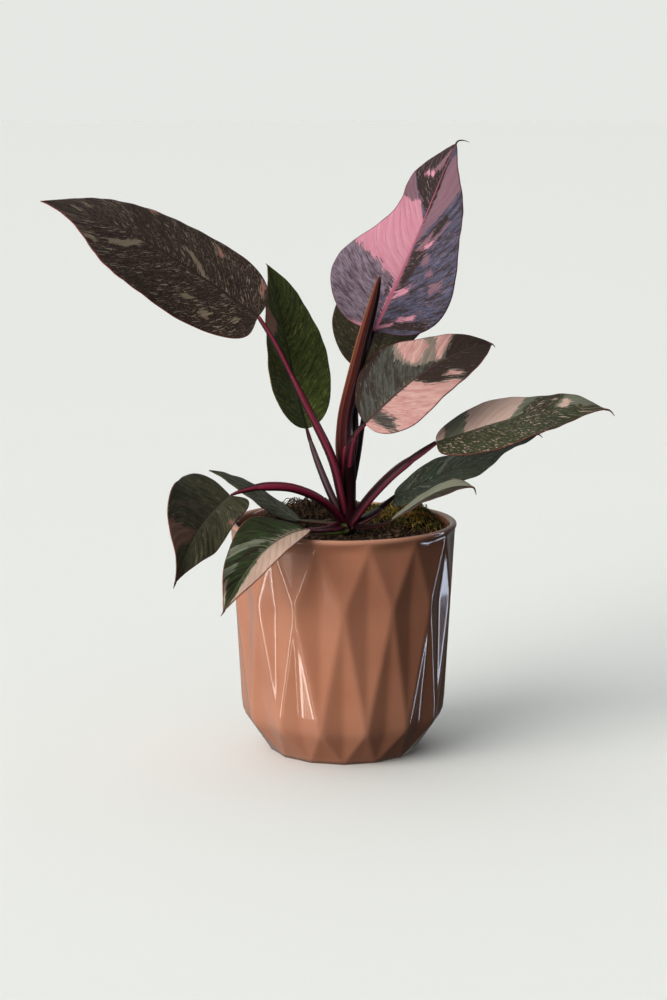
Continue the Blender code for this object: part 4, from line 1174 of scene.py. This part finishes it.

# %% [markdown]
# A leaf is green tissue under wax, and its markings lie at several depths. One function makes the skin of
# every blade from the ground up: the green with its streaks and broad paler patches, which are partly
# painted sheen, the painted shadow patches, flecks of three sizes drawn out along the side veins, the
# sectors, then veins, midrib and red margin. The wax is thin, so the gloss is low and broad. The underside
# is the same leaf, redder and duller, and without the wax.

# %% Skin of a blade
def blade_skin(name, look, under=False):
    """Variegated waxy leaf skin that reads the fields stored on the blade."""
    material, tree, shader = new_material(name)
    place, sector, border = (add(tree, "Attribute", attribute_name=stored).outputs["Vector"]
                             for stored in ("place", "sectors", "borders"))
    dark = add(tree, "Attribute", attribute_name="shadow_sector").outputs["Fac"]
    light, middle, third = add(tree, "SeparateXYZ", {0: sector}).outputs
    margin, rib, share = add(tree, "SeparateXYZ", {0: border}).outputs

    def streaks(across_mm, along_mm, detail=4.0, shift=0.0):
        """Noise drawn out along the side veins."""
        scaled = add(tree, "VectorMath", {0: place, 1: (1 / along_mm, 1 / across_mm, 1.0), 2: (0, 0, shift)},
                     operation="MULTIPLY_ADD").outputs[0]
        inputs = {"Vector": scaled, "Scale": 1.0, "Detail": detail, "Roughness": 0.6}
        return add(tree, "TexNoise", inputs).outputs["Fac"]

    wide, thin, torn = streaks(11.0, 3.5), streaks(5.0, 0.7), streaks(7.0, 1.7)
    specks, dashes = streaks(1.5, 0.55, 3.0, 3.0), streaks(5.5, 1.0, 2.0, 7.0)
    drops, crowds = streaks(2.6, 1.5, 2.0, 11.0), streaks(16.0, 10.0, 2.0, 5.0)
    clump = add(tree, "MapRange", {0: crowds, 1: 0.40, 2: 0.6, 3: 0.35}, **SMOOTH).outputs[0]
    ragged = add(tree, "Math", {0: torn, 1: dashes}, operation="ADD").outputs[0]
    ragged = add(tree, "Math", {0: ragged, 1: -1.0}, operation="ADD").outputs[0]

    def sector_coat(below, above, field, rough, most=1.0, outset=0.0):
        """Lays a colour inside a sector, whose edge is broken by the streaks."""
        edge = add(tree, "Math", {0: ragged, 1: rough, 2: field}, operation="MULTIPLY_ADD").outputs[0]
        return coat(tree, below, above, edge, -0.2 - outset, 0.2 - outset, most)

    def uneven(colour, deep, contrast=0.55):
        """A sector's colour, deeper along some veins and in some broad parts."""
        colour = coat(tree, colour, deep, thin, 0.40, 0.66, contrast)
        return coat(tree, colour, deep, wide, 0.42, 0.66, contrast)

    # The paler ground_lit patches, laid by broad noise, are partly uneven tone of the green and partly
    # painted sheen.
    ground = coat(tree, look["ground"], look["ground_lit"], wide, 0.35, 0.65)
    ground = coat(tree, ground, look["fleck"], thin, 0.50, 0.68, look["streaks"])
    ground = coat(tree, ground, look["dark"], thin, 0.48, 0.36, 0.7)
    # Painted shadow: inside the dark outlines the ground turns to the plain dark colour.
    ground = sector_coat(ground, look["dark"], dark, 7.0)
    for kind, most, marks, threshold in (("fleck", 0.8, specks, look["flecks"]),
                                         ("fleck_large", 0.85, dashes, look["flecks"] + 0.01),
                                         ("blush", 0.9, drops, look["blush_from"])):
        ground = coat(tree, ground, look[kind], marks, threshold, threshold + 0.025, most, within=clump)
    colour = sector_coat(ground, uneven(look["third"], look["third_deep"], 0.85), third, 6.0)
    colour = sector_coat(colour, uneven(look["middle"], look["middle_deep"]), middle, 7.0)
    colour = sector_coat(colour, look["middle"], light, 13.0, 0.55, 1.4)
    pink = uneven(look["light"], look["light_deep"])
    pink = coat(tree, pink, look["middle_deep"], specks, 0.69, 0.71, 0.5)
    colour = sector_coat(colour, pink, light, 7.0)

    across_veins = add(tree, "SeparateXYZ", {0: place}).outputs[0]
    phase = add(tree, "Math", {0: across_veins, 1: math.pi / VEIN_SPACING}, operation="MULTIPLY").outputs[0]
    off_vein = add(tree, "Math", {0: phase}, operation="SINE").outputs[0]
    off_vein = add(tree, "Math", {0: off_vein}, operation="ABSOLUTE").outputs[0]
    colour = coat(tree, colour, look["vein"], off_vein, 0.16, 0.0, 0.16)
    rib_width = add(tree, "MapRange", {0: share, 3: 1.15, 4: 0.25}).outputs[0]
    off_rib = add(tree, "Math", {0: rib, 1: rib_width}, operation="SUBTRACT").outputs[0]
    colour = coat(tree, colour, look["rib"], off_rib, 0.15, -0.35, 0.9)
    colour = coat(tree, colour, look["margin"], margin, 0.7, 0.2, look["margin_depth"])
    if under:
        colour = add(tree, "Mix", {0: 0.55, 6: colour, 7: linear(look["under"])}, data_type="RGBA").outputs[2]

    vein = add(tree, "MapRange", {0: off_vein, 2: 0.16, 3: 1.0, 4: 0.0}, **SMOOTH).outputs[0]
    height = add(tree, "Math", {0: vein, 1: -0.6, 2: thin}, operation="MULTIPLY_ADD").outputs[0]
    finish_skin(tree, shader, colour, height, 0.6, 0.4, Roughness=0.5 if under else look["roughness"],
                Specular_IOR_Level=0.16, Coat_Weight=0.0 if under else 0.07, Coat_Roughness=0.22)
    return material


print("fields stored for each blade:", FIELDS)

# %% [markdown]
# Each blade is one closed sheet 0.6 mm thick. It starts as a flat grid, whose rows become side veins and
# whose columns run from base to tip, and each vertex moves to its place on the leaf. A finer grid than the
# solid's keeps the outline and the ripples smooth, and Solidify gives it its second side. Modelling that side
# apart would leave two sheets to sew. The drip tip is a fine curled point, too thin for the sheet.

# %% Make the blades
SLOTS = {node["node"]: node["material_slot"] for node in frame["record"]["subparts"]}
BLADE_ROWS, BLADE_COLUMNS, BLADE_THICK = 110, 56, 0.6
LEFT_HALF_SHIFT = 300  # mm between the two halves in the noise, so that their streaks differ
# length in mm of the drip tip, and the way it bends
DRIP_TIPS = {
    "leaf_top_pink": (9.5, (2.6, 0.0, -2.2)), "leaf_long_right": (5.5, (0.1, 0.0, -1.9)),
    "leaf_middle_right": (3.0, (0.2, 0.0, -2.0)), "leaf_green_right": (3.5, (0.5, 0.0, -2.5)),
    "leaf_small_right": (4.8, (-0.2, 0.0, -4.5)), "leaf_green_back_left": (1.2, (-0.8, 0.0, 0.2)),
    "leaf_drooping_left": (2.0, (-0.3, 0.0, -0.5)), "leaf_front_left": (2.5, (-0.3, 0.0, 0.0)),
}
TIP_STATIONS, TIP_OVERLAP = 8, 2.0


def blade_mesh(name, leaf):
    """The upper side of one blade, with the fields that its skin reads stored on its vertices."""
    bm = bmesh.new()
    bmesh.ops.create_grid(bm, x_segments=BLADE_COLUMNS, y_segments=BLADE_ROWS, size=1.0)
    flat = np.array([v.co[:] for v in bm.verts])
    t, s = ((flat[:, 1] + 1) / 2) ** 1.2, flat[:, 0]
    points = blade_points(leaf, t, s, relief_of(leaf, t, s))
    left, reach = s > 0, np.abs(s)
    widths = half_width(t, leaf, left)
    swept = (t - VEIN_LEAN * reach) * leaf["length"] + np.where(left, LEFT_HALF_SHIFT, 0)
    scale = np.array([leaf["length"], 0.5 * sum(leaf["half_widths"])])
    outlines = [SECTORS.get((name, kind), []) for kind in FIELDS]
    fields = [inside_distance(corners, t * scale[0], s * scale[1], scale) for corners in outlines]
    to_margin = (1 - reach) * widths + 0.5 * (t < 0.004)
    stored = {
        "place": np.stack([swept, s * widths, 0 * s], -1), "sectors": np.stack(fields[:3], -1),
        "borders": np.stack([to_margin, reach * widths, t], -1),
    }
    for field, values in stored.items():
        layer = bm.verts.layers.float_vector.new(field)
        for vertex, value in zip(bm.verts, values):
            vertex[layer] = value
    layer = bm.verts.layers.float.new("shadow_sector")
    for vertex, point, depth in zip(bm.verts, points, fields[3]):
        vertex.co = point * MM
        vertex[layer] = depth
    bmesh.ops.remove_doubles(bm, verts=bm.verts, dist=0.02 * MM)
    return bm


def drip_tip(leaf, length, bend):
    """A thin curled point that carries on from the end of the midrib."""
    before, end = blade_points(leaf, np.array([0.975, 1.0]), np.zeros(2))
    ahead = (end - before) / np.linalg.norm(end - before)
    place, rows = end - ahead * TIP_OVERLAP, []
    for k in range(TIP_STATIONS + 1):
        share = max(0.0, (k - 1) / (TIP_STATIONS - 1))
        rows.append((*place, 0.7 * (1 - share) ** 0.8 + 0.16, 0.5 * (1 - share) + 0.14))
        way = ahead + share * np.array(bend)
        place = place + way / np.linalg.norm(way) * (length + TIP_OVERLAP) / TIP_STATIONS
    return grooved_tube(rows, 24, 10, 0.0, (0.1, 1.0, 0.2))


for name, leaf in LEAVES.items():
    look = {**COMMON_LOOK, **LOOKS[name]}
    words = name.replace("_", " ")
    skins = [blade_skin("waxy blade, " + words, look), blade_skin("underside, " + words, look, under=True)]
    blade = finish_piece(name + "_blade", blade_mesh(name, leaf), skins, SLOTS[name], name)
    thick = blade.modifiers.new("thickness", "SOLIDIFY")
    thick.thickness = BLADE_THICK * MM
    thick.offset = 0
    thick.material_offset = 1
    thick.use_even_offset = False
    if name in DRIP_TIPS:
        tip_skin = stalk_skin("dry drip tip, " + words, "2A1A14", look["margin"], "3A221A", 6.0)
        finish_piece(name + "_tip", drip_tip(leaf, *DRIP_TIPS[name]), [tip_skin], SLOTS[name])
    print(blade.name, "triangles before thickening", triangles(blade))
